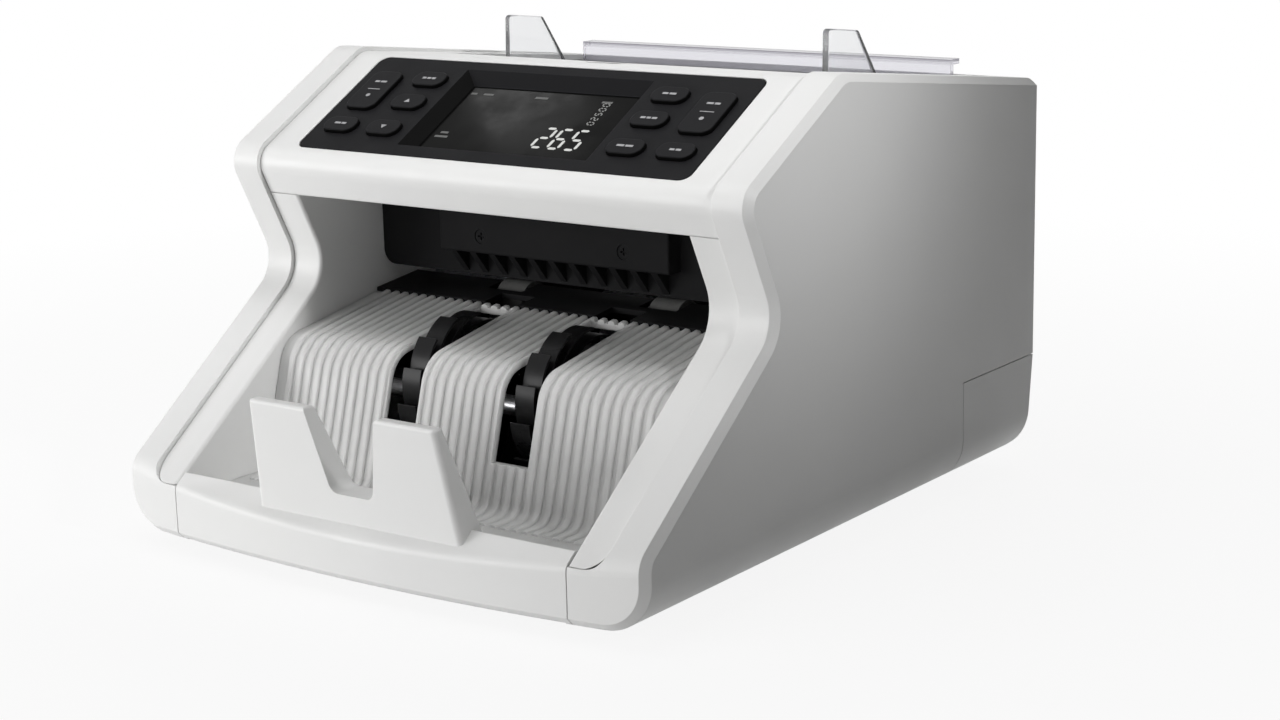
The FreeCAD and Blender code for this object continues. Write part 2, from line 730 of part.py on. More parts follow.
def paper_stop():
    base_z = slope_z(STOP_BASE_FRONT_Y) - WALL
    rise = (STOP_TOP_Z - base_z) / (STOP_TOP_Z - slope_z(STOP_BASE_FRONT_Y))
    front_y = STOP_TOP_FRONT_Y + (STOP_BASE_FRONT_Y - STOP_TOP_FRONT_Y) * rise
    top_rear_y = STOP_TOP_FRONT_Y + STOP_TOP_THICKNESS
    wedge = Part.makeLoft([
        stop_section(STOP_BASE_HALF_WIDTH, front_y, STOP_BASE_REAR_Y, base_z),
        stop_section(STOP_TOP_HALF_WIDTH, STOP_TOP_FRONT_Y, top_rear_y, STOP_TOP_Z),
    ], True, True)
    flare = (FINGER_GAP_TOP_HALF - FINGER_GAP_BASE_HALF) / (STOP_TOP_Z - FINGER_GAP_Z)
    mouth_z = STOP_TOP_Z + FINGER_GAP_RADIUS
    mouth = FINGER_GAP_BASE_HALF + flare * (mouth_z - FINGER_GAP_Z)
    outline = [
        (-FINGER_GAP_BASE_HALF, FINGER_GAP_Z),
        (FINGER_GAP_BASE_HALF, FINGER_GAP_Z),
        (mouth, mouth_z),
        (-mouth, mouth_z),
    ]
    radii = [FINGER_GAP_RADIUS, FINGER_GAP_RADIUS, 0, 0]
    stop = wedge.cut(slab_y(outline, STOP_TOP_FRONT_Y - WALL, STOP_BASE_REAR_Y + WALL, radii))
    return stop.makeFillet(STOP_EDGE_RADIUS, edges_at_z(stop, STOP_TOP_Z))


def stacker_front():
    half = THROAT_HALF_WIDTH - SEAM
    skin = lip_block(0, half).cut(lip_block(WALL, half - WALL))
    return skin.fuse(paper_stop().cut(lip_block(WALL, half - WALL))).removeSplitter()


# Ribbed ramp and tray floor, with slots for the stacker wheels
def ramp_line(lift):
    """Ramp surface from its rear edge over the crest and down to the tray floor, raised by a lift."""
    line = [
        (LIP_REAR_Y, TRAY_FLOOR_Z),
        (RAMP_FOOT_Y, TRAY_FLOOR_Z),
        (RAMP_CREST_Y, RAMP_CREST_Z),
        (RAMP_REAR_Y, RAMP_REAR_Z),
    ]
    raised = inset(line + [(RAMP_REAR_Y, 0), (LIP_REAR_Y, 0)], -lift)[:4]
    return [(LIP_REAR_Y, raised[0][1]), raised[1], raised[2], (RAMP_REAR_Y, raised[3][1])]


def ramp_sheet(top, bottom, x0, x1):
    upper = ramp_line(top)
    lower = ramp_line(bottom)
    foot = RAMP_CREST_RADIUS / 2
    radii = [0, foot - top, RAMP_CREST_RADIUS + top, 0, 0, RAMP_CREST_RADIUS + bottom, foot - bottom, 0]
    return slab_x(upper + lower[::-1], x0, x1, radii)


def ramp_rib():
    """One rib over the middle of the ramp, with its long top edges rounded."""
    half = RAMP_RIB_WIDTH / 2
    rib = ramp_sheet(RAMP_RIB_HEIGHT, -RAMP_SHEET / 2, -half, half)
    crest = edges_where(rib, is_rib_crest)
    return rib.makeFillet(RAMP_RIB_RADIUS, crest)


def is_rib_crest(edge):
    """True for the rib's long edges that lie above the ramp's sheet."""
    middle = middle_of(edge)
    along = abs(abs(middle.x) - RAMP_RIB_WIDTH / 2) < EDGE_TOLERANCE
    upper = ramp_sheet(RAMP_RIB_HEIGHT, RAMP_RIB_HEIGHT / 2, -RAMP_RIB_WIDTH, RAMP_RIB_WIDTH)
    return along and upper.isInside(middle, EDGE_TOLERANCE, True)


def stacker_ramp():
    half = THROAT_HALF_WIDTH - RAMP_SIDE_GAP
    count = int((half - RAMP_RIB_WIDTH) / RAMP_RIB_PITCH)
    sheet = ramp_sheet(0, -RAMP_SHEET, -half, half)
    first = ramp_rib()
    ribs = []
    for i in range(-count, count + 1):
        rib = first.copy()
        rib.translate(vec(i * RAMP_RIB_PITCH, 0, 0))
        ribs.append(rib)
    ramp = sheet.multiFuse(ribs).removeSplitter()
    ramp = ramp.cut(box(-half, half, LIP_REAR_Y, RAMP_FOOT_Y - RAMP_CREST_RADIUS, TRAY_FLOOR_Z, STOP_TOP_Z))
    for x in (-STACKER_WHEEL_X, STACKER_WHEEL_X):
        x0, x1 = x - WHEEL_SLOT_HALF_WIDTH, x + WHEEL_SLOT_HALF_WIDTH
        slot = box(x0, x1, RAMP_FOOT_Y - WALL, RAMP_REAR_Y - WALL, WHEEL_SLOT_BOTTOM_Z, BROW_Z)
        ramp = ramp.cut(slot)
    legs = []
    for x in (-half, half - WALL):
        for y in (LIP_REAR_Y + PAN_RIM, RAMP_FOOT_Y - RAMP_CREST_RADIUS):
            legs.append(box(x, x + WALL, y, y + WALL, PAN_TOP_Z, TRAY_FLOOR_Z - RAMP_SHEET / 2))
    return ramp.multiFuse(legs).removeSplitter()


# Stacker wheels: hubs with trailing spiral vanes
def vane(x0):
    def at(radius, angle):
        turn = math.radians(angle)
        return vec(x0, STACKER_Y + radius * math.cos(turn), STACKER_Z + radius * math.sin(turn))

    root = STACKER_HUB_RADIUS - STACKER_VANE_THICKNESS
    middle = (root + STACKER_RADIUS) / 2
    tip = STACKER_RADIUS - STACKER_VANE_THICKNESS
    lean = STACKER_VANE_SWEEP * STACKER_VANE_BEND
    thick = STACKER_VANE_THICKNESS
    inner = [at(root, 0), at(middle, -lean), at(tip, -STACKER_VANE_SWEEP)]
    outer = [at(root + thick, 0), at(middle + thick, -lean), at(tip + thick, -STACKER_VANE_SWEEP)]
    wire = Part.Wire([
        Part.Arc(*inner).toShape(),
        Part.makeLine(inner[2], outer[2]),
        Part.Arc(*outer[::-1]).toShape(),
        Part.makeLine(outer[0], inner[0]),
    ])
    return Part.Face(wire).extrude(vec(STACKER_WHEEL_WIDTH, 0, 0))


def stacker_wheel(x):
    x0 = x - STACKER_WHEEL_WIDTH / 2
    hub = rod_x(STACKER_HUB_RADIUS, x0, x0 + STACKER_WHEEL_WIDTH, STACKER_Y, STACKER_Z)
    first = vane(x0)
    vanes = []
    for i in range(STACKER_VANES):
        copy = first.copy()
        copy.rotate(vec(x0, STACKER_Y, STACKER_Z), vec(1, 0, 0), 360.0 * i / STACKER_VANES)
        vanes.append(copy)
    wheel = hub.multiFuse(vanes).removeSplitter()
    return wheel.cut(rod_x(SHAFT_RADIUS, -WIDTH, WIDTH, STACKER_Y, STACKER_Z))


def stacker_wheels():
    return Part.makeCompound([stacker_wheel(-STACKER_WHEEL_X), stacker_wheel(STACKER_WHEEL_X)])


# Throat panel with its raised centre plate and note fins, and the exit plate
def throat_panel():
    half = THROAT_HALF_WIDTH - RAMP_SIDE_GAP
    back_y = PANEL_FACE_Y + PANEL_FACE_THICKNESS
    outline = rectangle(-half, half, PANEL_FACE_BOTTOM_Z, HOUSING_BOTTOM_Z)
    corner = PANEL_FACE_CORNER_RADIUS
    plate = slab_y(outline, PANEL_FACE_Y, back_y, [corner, corner, 0, 0])
    front_y = PANEL_FACE_Y - CENTRE_PLATE_DEPTH
    block = box(-CENTRE_PLATE_HALF_WIDTH, CENTRE_PLATE_HALF_WIDTH, front_y, PANEL_FACE_Y,
                CENTRE_PLATE_BOTTOM_Z, HOUSING_BOTTOM_Z)
    fins = []
    for i in range(FIN_COUNT):
        x = (i - (FIN_COUNT - 1) / 2) * FIN_PITCH
        outline = [
            (front_y, CENTRE_PLATE_BOTTOM_Z),
            (PANEL_FACE_Y, CENTRE_PLATE_BOTTOM_Z),
            (PANEL_FACE_Y, FIN_TIP_Z),
        ]
        fins.append(slab_x(outline, x - FIN_THICKNESS / 2, x + FIN_THICKNESS / 2))
    block = block.makeFillet(CENTRE_PLATE_EDGE_RADIUS, edges_at_y(block, front_y))
    panel = plate.multiFuse([block] + fins).removeSplitter()
    y0, y1 = front_y - WALL, back_y + WALL
    head_back = front_y + SCREW_HEAD_HEIGHT + SEAM
    for x in (-THROAT_SCREW_X, THROAT_SCREW_X):
        panel = panel.cut(rod_y(SCREW_SHANK_RADIUS + SCREW_FIT, y0, y1, x, THROAT_SCREW_Z))
        panel = panel.cut(rod_y(SCREW_HEAD_RADIUS + SCREW_FIT, y0, head_back, x, THROAT_SCREW_Z))
    return panel


def exit_plate():
    half = THROAT_HALF_WIDTH - RAMP_SIDE_GAP
    lift = RAMP_RIB_HEIGHT + EXIT_LIFT
    front = (RAMP_REAR_Y + SEAM, RAMP_REAR_Z + lift)
    rear = (EXIT_REAR_Y, EXIT_REAR_Z)
    outline = [front, rear, (rear[0], rear[1] - EXIT_SHEET), (front[0] + WALL, front[1] - EXIT_SHEET),
               (front[0] + WALL, STACKER_Z), (front[0], STACKER_Z)]
    plate = slab_x(outline, -half, half)
    for side in (-1, 1):
        x = side * STACKER_WHEEL_X
        notch = box(x - WHEEL_SLOT_HALF_WIDTH, x + WHEEL_SLOT_HALF_WIDTH, RAMP_REAR_Y - WALL,
                    STACKER_Y + STACKER_RADIUS + WALL, 0, WAIST_Z)
        plate = plate.cut(notch)
        roller = side * TRANSPORT_X
        half_window = TRANSPORT_WIDTH / 2 + ROLLER_WINDOW_GAP
        x0, x1 = roller - half_window, roller + half_window
        window_y = TRANSPORT_Y - TRANSPORT_RADIUS - ROLLER_WINDOW_GAP
        window = box(x0, x1, window_y, EXIT_REAR_Y + WALL, TRANSPORT_Z, WAIST_Z)
        plate = plate.cut(window)
    return plate


# Control housing: the nose above the throat, open at the back
def housing_block(skin, x):
    top_drop = FACE_BROW[1] - TOP_FALL * (HOUSING_BACK_Y - FACE_BROW[0])
    outline = [
        (chin_y(HOUSING_BOTTOM_Z), HOUSING_BOTTOM_Z),
        FACE_NOSE,
        FACE_BROW,
        (HOUSING_BACK_Y, top_drop),
        (HOUSING_BACK_Y, HOUSING_BOTTOM_Z),
    ]
    drawn = inset(outline, skin)
    if skin:
        drawn[3] = (HOUSING_BACK_Y + WALL, drawn[3][1] - TOP_FALL * (WALL + skin))
        drawn[4] = (HOUSING_BACK_Y + WALL, drawn[4][1])
    nose = NOSE_RADIUS - COVER_STEP - skin
    brow = BROW_RADIUS - COVER_STEP - skin
    chin = 0 if skin else HOUSING_BOTTOM_RADIUS
    return slab_x(drawn, -x, x, [chin, nose, brow, 0, 0])


PANEL_TURN = FreeCAD.Rotation(vec(1, 0, 0), PANEL_TILT)
PANEL_PLACE = FreeCAD.Placement(vec(0, FACE_NOSE[0], FACE_NOSE[1]), PANEL_TURN)


def on_panel(shape):
    """Move a shape drawn flat, with y up the slope and z outward, on to the housing's slope."""
    moved = shape.copy()
    moved.Placement = PANEL_PLACE.multiply(moved.Placement)
    return moved


def rounded_panel():
    plate = panel_pad(0, -PANEL_THICKNESS, 0)
    return plate.makeFillet(PANEL_EDGE_RADIUS, edges_at_z(plate, 0))


def panel_pad(grow, z0, z1):
    return pad_z(-PANEL_HALF_WIDTH - grow, PANEL_HALF_WIDTH + grow, PANEL_START - grow, PANEL_END + grow,
                 z0, z1, PANEL_CORNER_RADIUS + grow)


def control_housing():
    shell = housing_block(0, INNER_X).cut(housing_block(WALL, INNER_X - WALL))
    return shell.cut(on_panel(panel_pad(PANEL_FIT, -WALL * 2, WALL)))


# Keys, named by where they stand on the panel
KEYS = {}
for side_name, side in (("left", -1), ("right", 1)):
    inner_x, outer_x = side * KEY_INNER_X, side * KEY_OUTER_X
    KEYS["key_" + side_name + "_tall"] = (outer_x, KEY_TALL_ROW, KEY_TALL_WIDTH, KEY_TALL_HEIGHT)
    KEYS["key_" + side_name + "_top"] = (inner_x, KEY_TOP_ROW, KEY_WIDTH, KEY_HEIGHT)
    KEYS["key_" + side_name + "_middle"] = (inner_x, KEY_MIDDLE_ROW, KEY_WIDTH, KEY_HEIGHT)
    KEYS["key_" + side_name + "_low_inner"] = (inner_x, KEY_LOW_ROW, KEY_WIDTH, KEY_HEIGHT)
    KEYS["key_" + side_name + "_low_outer"] = (outer_x, KEY_LOW_ROW, KEY_WIDTH, KEY_HEIGHT)
BOARD_TOP = -PANEL_THICKNESS - BOARD_DEPTH


def key_pad(key, grow, z0, z1):
    x, row, width, height = KEYS[key]
    half_width, half_height = width / 2 + grow, height / 2 + grow
    radius = KEY_CORNER_RADIUS + grow
    return pad_z(x - half_width, x + half_width, row - half_height, row + half_height, z0, z1, radius)


def key(name):
    cap = key_pad(name, 0, -PANEL_THICKNESS, KEY_PROUD)
    cap = cap.makeFillet(KEY_EDGE_RADIUS, edges_at_z(cap, KEY_PROUD))
    flange = key_pad(name, KEY_FLANGE, -PANEL_THICKNESS - KEY_FLANGE_THICKNESS, -PANEL_THICKNESS)
    return on_panel(cap.fuse(flange).removeSplitter())


def window_section(draw_in, z):
    points = rectangle(-WINDOW_HALF_WIDTH + draw_in, WINDOW_HALF_WIDTH - draw_in,
                       WINDOW_START + draw_in, WINDOW_END - draw_in)
    return outline_wire(points, [0] * 4, lambda p: vec(p.x, p.y, z))


def control_panel():
    plate = rounded_panel()
    reach = PANEL_HALF_WIDTH + PANEL_FLANGE
    flange_start = PANEL_START + PANEL_CORNER_RADIUS
    flange_end = PANEL_END - PANEL_CORNER_RADIUS
    panel = plate.fuse(box(-reach, reach, flange_start, flange_end, -PANEL_THICKNESS, -WALL))
    for x in (-PANEL_HALF_WIDTH + POST_INSET, PANEL_HALF_WIDTH - POST_INSET):
        for row in (PANEL_START + POST_INSET, PANEL_END - POST_INSET):
            panel = panel.fuse(rod_z(POST_RADIUS, BOARD_TOP, -PANEL_THICKNESS, x, row))
    panel = panel.removeSplitter()
    sections = [window_section(WINDOW_TAPER, -PANEL_THICKNESS), window_section(0, 0)]
    panel = panel.cut(Part.makeLoft(sections, True, True))
    for name in KEYS:
        panel = panel.cut(key_pad(name, KEY_FIT, -PANEL_THICKNESS, 0))
    return on_panel(panel)


def lens_pad(grow, z0, z1):
    edge = WINDOW_TAPER - LENS_LAP - grow
    reach = WINDOW_HALF_WIDTH - edge
    return box(-reach, reach, WINDOW_START + edge, WINDOW_END - edge, z0, z1)


def display_lens():
    return on_panel(lens_pad(0, -PANEL_THICKNESS - LENS_THICKNESS, -PANEL_THICKNESS))


def display_module():
    top = -PANEL_THICKNESS - LENS_THICKNESS
    return on_panel(lens_pad(-DISPLAY_MARGIN, top - DISPLAY_THICKNESS, top))


def keypad_board():
    reach = PANEL_HALF_WIDTH - BOARD_MARGIN
    under = BOARD_TOP - BOARD_THICKNESS
    board = box(-reach, reach, PANEL_START + BOARD_MARGIN, PANEL_END - BOARD_MARGIN, under, BOARD_TOP)
    board = board.cut(lens_pad(SEAM - DISPLAY_MARGIN, under, BOARD_TOP))
    switch_top = -PANEL_THICKNESS - KEY_FLANGE_THICKNESS - KEY_TRAVEL - KEY_FIT
    half = SWITCH_SIZE / 2
    for place in KEYS.values():
        x, row = place[:2]
        board = board.fuse(box(x - half, x + half, row - half, row + half, BOARD_TOP, switch_top))
    return on_panel(board.removeSplitter())


# Top cover with the hopper's mouth, the tray inside, its guides and its rear plate
def body_ring(outline):
    return body_slab(0, -SEAM_X, SEAM_X, outline).cut(body_slab(WALL, -SEAM_X, SEAM_X, outline))


def knob_top_z():
    return top_z(KNOB_Y) - KNOB_SUNK


def top_cover():
    front_y = HOUSING_BACK_Y + SEAM
    rear_y = TOP_SPLIT_Y - SEAM
    cover = body_ring(CROWN).common(box(-SEAM_X, SEAM_X, front_y, rear_y, HOPPER_SKIRT_Z, BROW_Z))
    half = HOPPER_HALF_WIDTH
    mouth = box(-half, half, HOPPER_FRONT_Y, HOPPER_REAR_Y, HOPPER_SKIRT_Z, BROW_Z + WALL)
    cover = cover.cut(mouth)
    skirt = box(-half, half, HOPPER_FRONT_Y - WALL, HOPPER_FRONT_Y, HOPPER_SKIRT_Z, BROW_Z)
    cup_radius = KNOB_RADIUS + KNOB_CUP_GAP
    cup_bottom = knob_top_z() - KNOB_HEIGHT - WALL
    cup = rod_z(cup_radius + WALL / 2, cup_bottom, BROW_Z, 0, KNOB_Y)
    inside = body_slab(WALL / 2, -SEAM_X, SEAM_X, CROWN)
    cover = cover.multiFuse([skirt.common(inside), cup.common(inside)]).removeSplitter()
    well = rod_z(cup_radius, cup_bottom + WALL, BROW_Z, 0, KNOB_Y)
    return cover.cut(well).cut(rod_z(KNOB_STEM_RADIUS + RUNNING_FIT, 0, BROW_Z, 0, KNOB_Y))


def gap_adjust_knob():
    top = knob_top_z()
    knob = rod_z(KNOB_RADIUS, top - KNOB_HEIGHT, top, 0, KNOB_Y)
    knob = knob.makeFillet(KNOB_EDGE_RADIUS, edges_at_z(knob, top))
    slot = box(-KNOB_RADIUS, KNOB_RADIUS, KNOB_Y - WALL / 4, KNOB_Y + WALL / 4, top - KNOB_HEIGHT / 3, top)
    stem = rod_z(KNOB_STEM_RADIUS, top - KNOB_STEM_LENGTH, top - KNOB_HEIGHT, 0, KNOB_Y)
    return knob.cut(slot).fuse(stem).removeSplitter()


FLOOR_RISE = (FLOOR_REAR_Z - FLOOR_FRONT_Z) / (FLOOR_REAR_Y - FLOOR_FRONT_Y)


def floor_z(y):
    return FLOOR_FRONT_Z + FLOOR_RISE * (y - FLOOR_FRONT_Y)


def hopper_tray():
    sheet = [
        (FLOOR_FRONT_Y, FLOOR_FRONT_Z - TRAY_SHEET),
        (FLOOR_FRONT_Y, FLOOR_FRONT_Z),
        (FLOOR_REAR_Y, FLOOR_REAR_Z),
        (FLOOR_REAR_Y, FLOOR_REAR_Z - TRAY_SHEET),
    ]
    tray = slab_x(sheet, -CHASSIS_X, CHASSIS_X)
    for side in (-1, 1):
        wall = [
            sheet[0],
            (FLOOR_FRONT_Y, top_z(FLOOR_FRONT_Y) - UNDER_TOP),
            (FLOOR_REAR_Y, top_z(FLOOR_REAR_Y) - UNDER_TOP),
            sheet[3],
        ]
        x = side * (CHASSIS_X + HOPPER_HALF_WIDTH) / 2
        half = (CHASSIS_X - HOPPER_HALF_WIDTH) / 2
        tray = tray.fuse(slab_x(wall, x - half, x + half))
        gap = ROLLER_WINDOW_GAP
        pickup_x = side * FEED_ROLLER_X
        reach = PICKUP_RADIUS + gap
        x0, x1 = pickup_x - PICKUP_WIDTH / 2 - gap, pickup_x + PICKUP_WIDTH / 2 + gap
        tray = tray.cut(box(x0, x1, PICKUP_Y - reach, PICKUP_Y + reach, PICKUP_Z, FLOOR_REAR_Z))
        feed_end = FEED_Y + FEED_ROLLER_RADIUS + gap
        x0, x1 = pickup_x - FEED_ROLLER_WIDTH / 2 - gap, pickup_x + FEED_ROLLER_WIDTH / 2 + gap
        tray = tray.cut(box(x0, x1, FLOOR_FRONT_Y - WALL, feed_end, FEED_Z, FLOOR_REAR_Z))
    tray = tray.cut(rod_x(RAIL_RADIUS, -WIDTH, WIDTH, RAIL_Y, RAIL_Z))
    return tray.removeSplitter()


def guide_rail():
    return rod_x(RAIL_RADIUS, -CHASSIS_X, CHASSIS_X, RAIL_Y, RAIL_Z)


def is_guide_rim(edge, x):
    """True for the guide's face edges in front of its arm."""
    on_face = any(on_plane_x(edge, x + side * GUIDE_THICKNESS / 2) for side in (-1, 1))
    return on_face and middle_of(edge).y < GUIDE_ARM_Y and middle_of(edge).z > RAIL_Z


def hopper_guide(side):
    x = side * GUIDE_X
    arm_end = RAIL_Y - RAIL_RADIUS
    outline = [
        (GUIDE_FRONT_Y, floor_z(GUIDE_FRONT_Y) + GUIDE_FLOOR_GAP),
        (GUIDE_TOP_FRONT_Y, GUIDE_TOP_FRONT_Z),
        (GUIDE_TOP_REAR_Y, GUIDE_TOP_REAR_Z),
        (GUIDE_ARM_Y, GUIDE_ARM_Z),
        (arm_end, GUIDE_ARM_Z),
        (arm_end, floor_z(arm_end) + GUIDE_FLOOR_GAP),
    ]
    radii = [GUIDE_CORNER_RADIUS] * 3 + [GUIDE_HUB_RADIUS, 0, 0]
    plate = slab_x(outline, x - GUIDE_THICKNESS / 2, x + GUIDE_THICKNESS / 2, radii)
    hub = rod_x(GUIDE_HUB_RADIUS, x - GUIDE_HUB_LENGTH / 2, x + GUIDE_HUB_LENGTH / 2, RAIL_Y, RAIL_Z)
    faces = [edge for edge in plate.Edges if is_guide_rim(edge, x)]
    guide = plate.makeFillet(GUIDE_EDGE_RADIUS, faces).fuse(hub).removeSplitter()
    return guide.cut(rod_x(RAIL_RADIUS + RUNNING_FIT, -WIDTH, WIDTH, RAIL_Y, RAIL_Z))


def hopper_rear_plate():
    half = HOPPER_HALF_WIDTH - REAR_PLATE_SIDE_GAP
    back_y = REAR_PLATE_Y + REAR_PLATE_THICKNESS
    outline = [
        (REAR_PLATE_Y, floor_z(REAR_PLATE_Y)),
        (REAR_PLATE_Y, REAR_PLATE_TOP_Z),
        (back_y + REAR_PLATE_FLANGE, REAR_PLATE_TOP_Z),
        (back_y + REAR_PLATE_FLANGE, REAR_PLATE_TOP_Z - REAR_PLATE_THICKNESS),
        (back_y, REAR_PLATE_TOP_Z - REAR_PLATE_THICKNESS),
        (back_y, floor_z(back_y)),
    ]
    return slab_x(outline, -half, half)


# Rear cover with its wrap-round skirt, sockets and switch
def rear_cover():
    wall = body_ring(BODY).common(box(-SEAM_X, SEAM_X, TOP_SPLIT_Y, REAR_Y + WALL, 0, BROW_Z))
    wing = side_shell().common(skirt_zone(0))
    cover = wall.multiFuse([wing, mirrored(wing)]).removeSplitter()
    y0, y1 = REAR_Y - WALL * 2, REAR_Y + WALL
    cover = cover.cut(socket_box(INLET_X, INLET_WIDTH, INLET_HEIGHT, y0, y1, SCREW_FIT))
    cover = cover.cut(socket_box(SWITCH_X, SWITCH_WIDTH, SWITCH_HEIGHT, y0, y1, SCREW_FIT))
    for i in range(PORT_COUNT):
        cover = cover.cut(socket_box(PORT_X + i * PORT_PITCH, PORT_WIDTH, PORT_HEIGHT, y0, y1, SCREW_FIT))
    for x, z in rear_screw_places():
        cover = cover.cut(rod_y(SCREW_SHANK_RADIUS + SCREW_FIT, y0, y1, x, z))
    return cover


def socket_box(x, width, height, y0, y1, grow):
    half_width, half_height = width / 2 + grow, height / 2 + grow
    return box(x - half_width, x + half_width, y0, y1, SOCKET_Z - half_height, SOCKET_Z + half_height)


def rear_screw_places():
    return [(side * REAR_SCREW_X, z) for side in (-1, 1) for z in (REAR_SCREW_LOW_Z, REAR_SCREW_HIGH_Z)]


def power_inlet():
    lip_y = REAR_Y + SOCKET_LIP_THICKNESS
    pocket_y = REAR_Y - INLET_DEPTH + WALL
    body = socket_box(INLET_X, INLET_WIDTH, INLET_HEIGHT, REAR_Y - INLET_DEPTH, REAR_Y, 0)
    lip = socket_box(INLET_X, INLET_WIDTH, INLET_HEIGHT, REAR_Y, lip_y, INLET_LIP)
    pocket = socket_box(INLET_X, INLET_WIDTH, INLET_HEIGHT, pocket_y, REAR_Y + WALL, -WALL)
    inlet = body.fuse(lip).removeSplitter().cut(pocket)
    for dx, dz in ((-INLET_PIN_X, -INLET_PIN_Z), (INLET_PIN_X, -INLET_PIN_Z), (0, INLET_PIN_Z)):
        x, z = INLET_X + dx, SOCKET_Z + dz
        half_x, half_z = INLET_PIN_WIDTH / 2, INLET_PIN_HEIGHT / 2
        root_y = pocket_y - WALL / 2
        pin = box(x - half_x, x + half_x, root_y, REAR_Y - WALL, z - half_z, z + half_z)
        inlet = inlet.fuse(pin)
    return inlet.removeSplitter()


def switch_frame():
    lip_y = REAR_Y + SOCKET_LIP_THICKNESS
    pocket_y = REAR_Y - SWITCH_DEPTH + WALL
    body = socket_box(SWITCH_X, SWITCH_WIDTH, SWITCH_HEIGHT, REAR_Y - SWITCH_DEPTH, REAR_Y, 0)
    lip = socket_box(SWITCH_X, SWITCH_WIDTH, SWITCH_HEIGHT, REAR_Y, lip_y, SWITCH_LIP)
    pocket = socket_box(SWITCH_X, SWITCH_WIDTH, SWITCH_HEIGHT, pocket_y, REAR_Y + WALL, -SWITCH_WALL)
    frame = body.fuse(lip).removeSplitter().cut(pocket)
    hole_radius = ROCKER_PIN_RADIUS + RUNNING_FIT
    x0, x1 = SWITCH_X - SWITCH_WIDTH / 2, SWITCH_X + SWITCH_WIDTH / 2
    return frame.cut(rod_x(hole_radius, x0, x1, ROCKER_PIN_Y, SOCKET_Z))


def switch_rocker():
    """Dished rocker on its pin, tipped to the off side."""
    half_x = SWITCH_WIDTH / 2 - SWITCH_WALL - ROCKER_FIT
    half_z = SWITCH_HEIGHT / 2 - SWITCH_WALL - ROCKER_FIT - ROCKER_PIN_RADIUS
    face_y = REAR_Y + SOCKET_LIP_THICKNESS + ROCKER_PROUD
    back_y = ROCKER_PIN_Y - ROCKER_HEEL
    outline = [
        (back_y, SOCKET_Z - half_z + ROCKER_TAPER),
        (back_y, SOCKET_Z + half_z - ROCKER_TAPER),
        (face_y, SOCKET_Z + half_z),
        (face_y, SOCKET_Z - half_z),
    ]
    dish_y = face_y - ROCKER_DISH_DEPTH + ROCKER_DISH_RADIUS
    dish = rod_x(ROCKER_DISH_RADIUS, SWITCH_X - half_x, SWITCH_X + half_x, dish_y, SOCKET_Z)
    rocker = slab_x(outline, SWITCH_X - half_x, SWITCH_X + half_x).cut(dish)
    pin_half = SWITCH_WIDTH / 2
    pin = rod_x(ROCKER_PIN_RADIUS, SWITCH_X - pin_half, SWITCH_X + pin_half, ROCKER_PIN_Y, SOCKET_Z)
    rocker = rocker.fuse(pin).removeSplitter()
    rocker.rotate(vec(SWITCH_X, ROCKER_PIN_Y, SOCKET_Z), vec(1, 0, 0), -ROCKER_TILT)
    return rocker


def data_ports():
    ports = []
    for i in range(PORT_COUNT):
        x = PORT_X + i * PORT_PITCH
        block = socket_box(x, PORT_WIDTH, PORT_HEIGHT, REAR_Y - PORT_DEPTH, REAR_Y, 0)
        lip = socket_box(x, PORT_WIDTH, PORT_HEIGHT, REAR_Y, REAR_Y + SOCKET_LIP_THICKNESS, PORT_LIP)
        mouth = socket_box(x, PORT_WIDTH, PORT_HEIGHT, REAR_Y - PORT_DEPTH + WALL, REAR_Y + WALL, -PORT_WALL)
        ports.append(block.fuse(lip).removeSplitter().cut(mouth))
    return Part.makeCompound(ports)


# Base pan and feet
def base_pan():
    rear_y = TOP_SPLIT_Y - SEAM
    pan = box(-INNER_X, INNER_X, PAN_FRONT_Y, rear_y, FOOT_HEIGHT, PAN_TOP_Z)
    rims = []
    for side in (-1, 1):
        x = side * (INNER_X - WALL / 2)
        rims.append(box(x - WALL / 2, x + WALL / 2, PAN_RIM_FRONT_Y, rear_y, PAN_TOP_Z, PAN_TOP_Z + PAN_RIM))
    posts = []
    for x in (-1, 1):
        for y in (-1, 1):
            post_x = MAIN_BOARD_X + x * (MAIN_BOARD_WIDTH / 2 - STANDOFF_INSET)
            post_y = MAIN_BOARD_Y + y * (MAIN_BOARD_LENGTH / 2 - STANDOFF_INSET)
            posts.append(rod_z(STANDOFF_RADIUS, PAN_TOP_Z, PAN_TOP_Z + STANDOFF_HEIGHT, post_x, post_y))
    return pan.multiFuse(rims + posts).removeSplitter()


def rubber_feet():
    feet = []
    for x in (-FOOT_X, FOOT_X):
        for y in (FOOT_FRONT_Y, FOOT_REAR_Y):
            foot = rod_z(FOOT_RADIUS, 0, FOOT_HEIGHT, x, y)
            feet.append(foot.makeFillet(FOOT_EDGE_RADIUS, edges_at_z(foot, 0)))
    return Part.makeCompound(feet)


# Chassis plates, bushes, shafts, rollers and pulleys
TURNING_SHAFTS = [
    (FEED_Y, FEED_Z), (PICKUP_Y, PICKUP_Z), (TRANSPORT_Y, TRANSPORT_Z), (STACKER_Y, STACKER_Z),
]


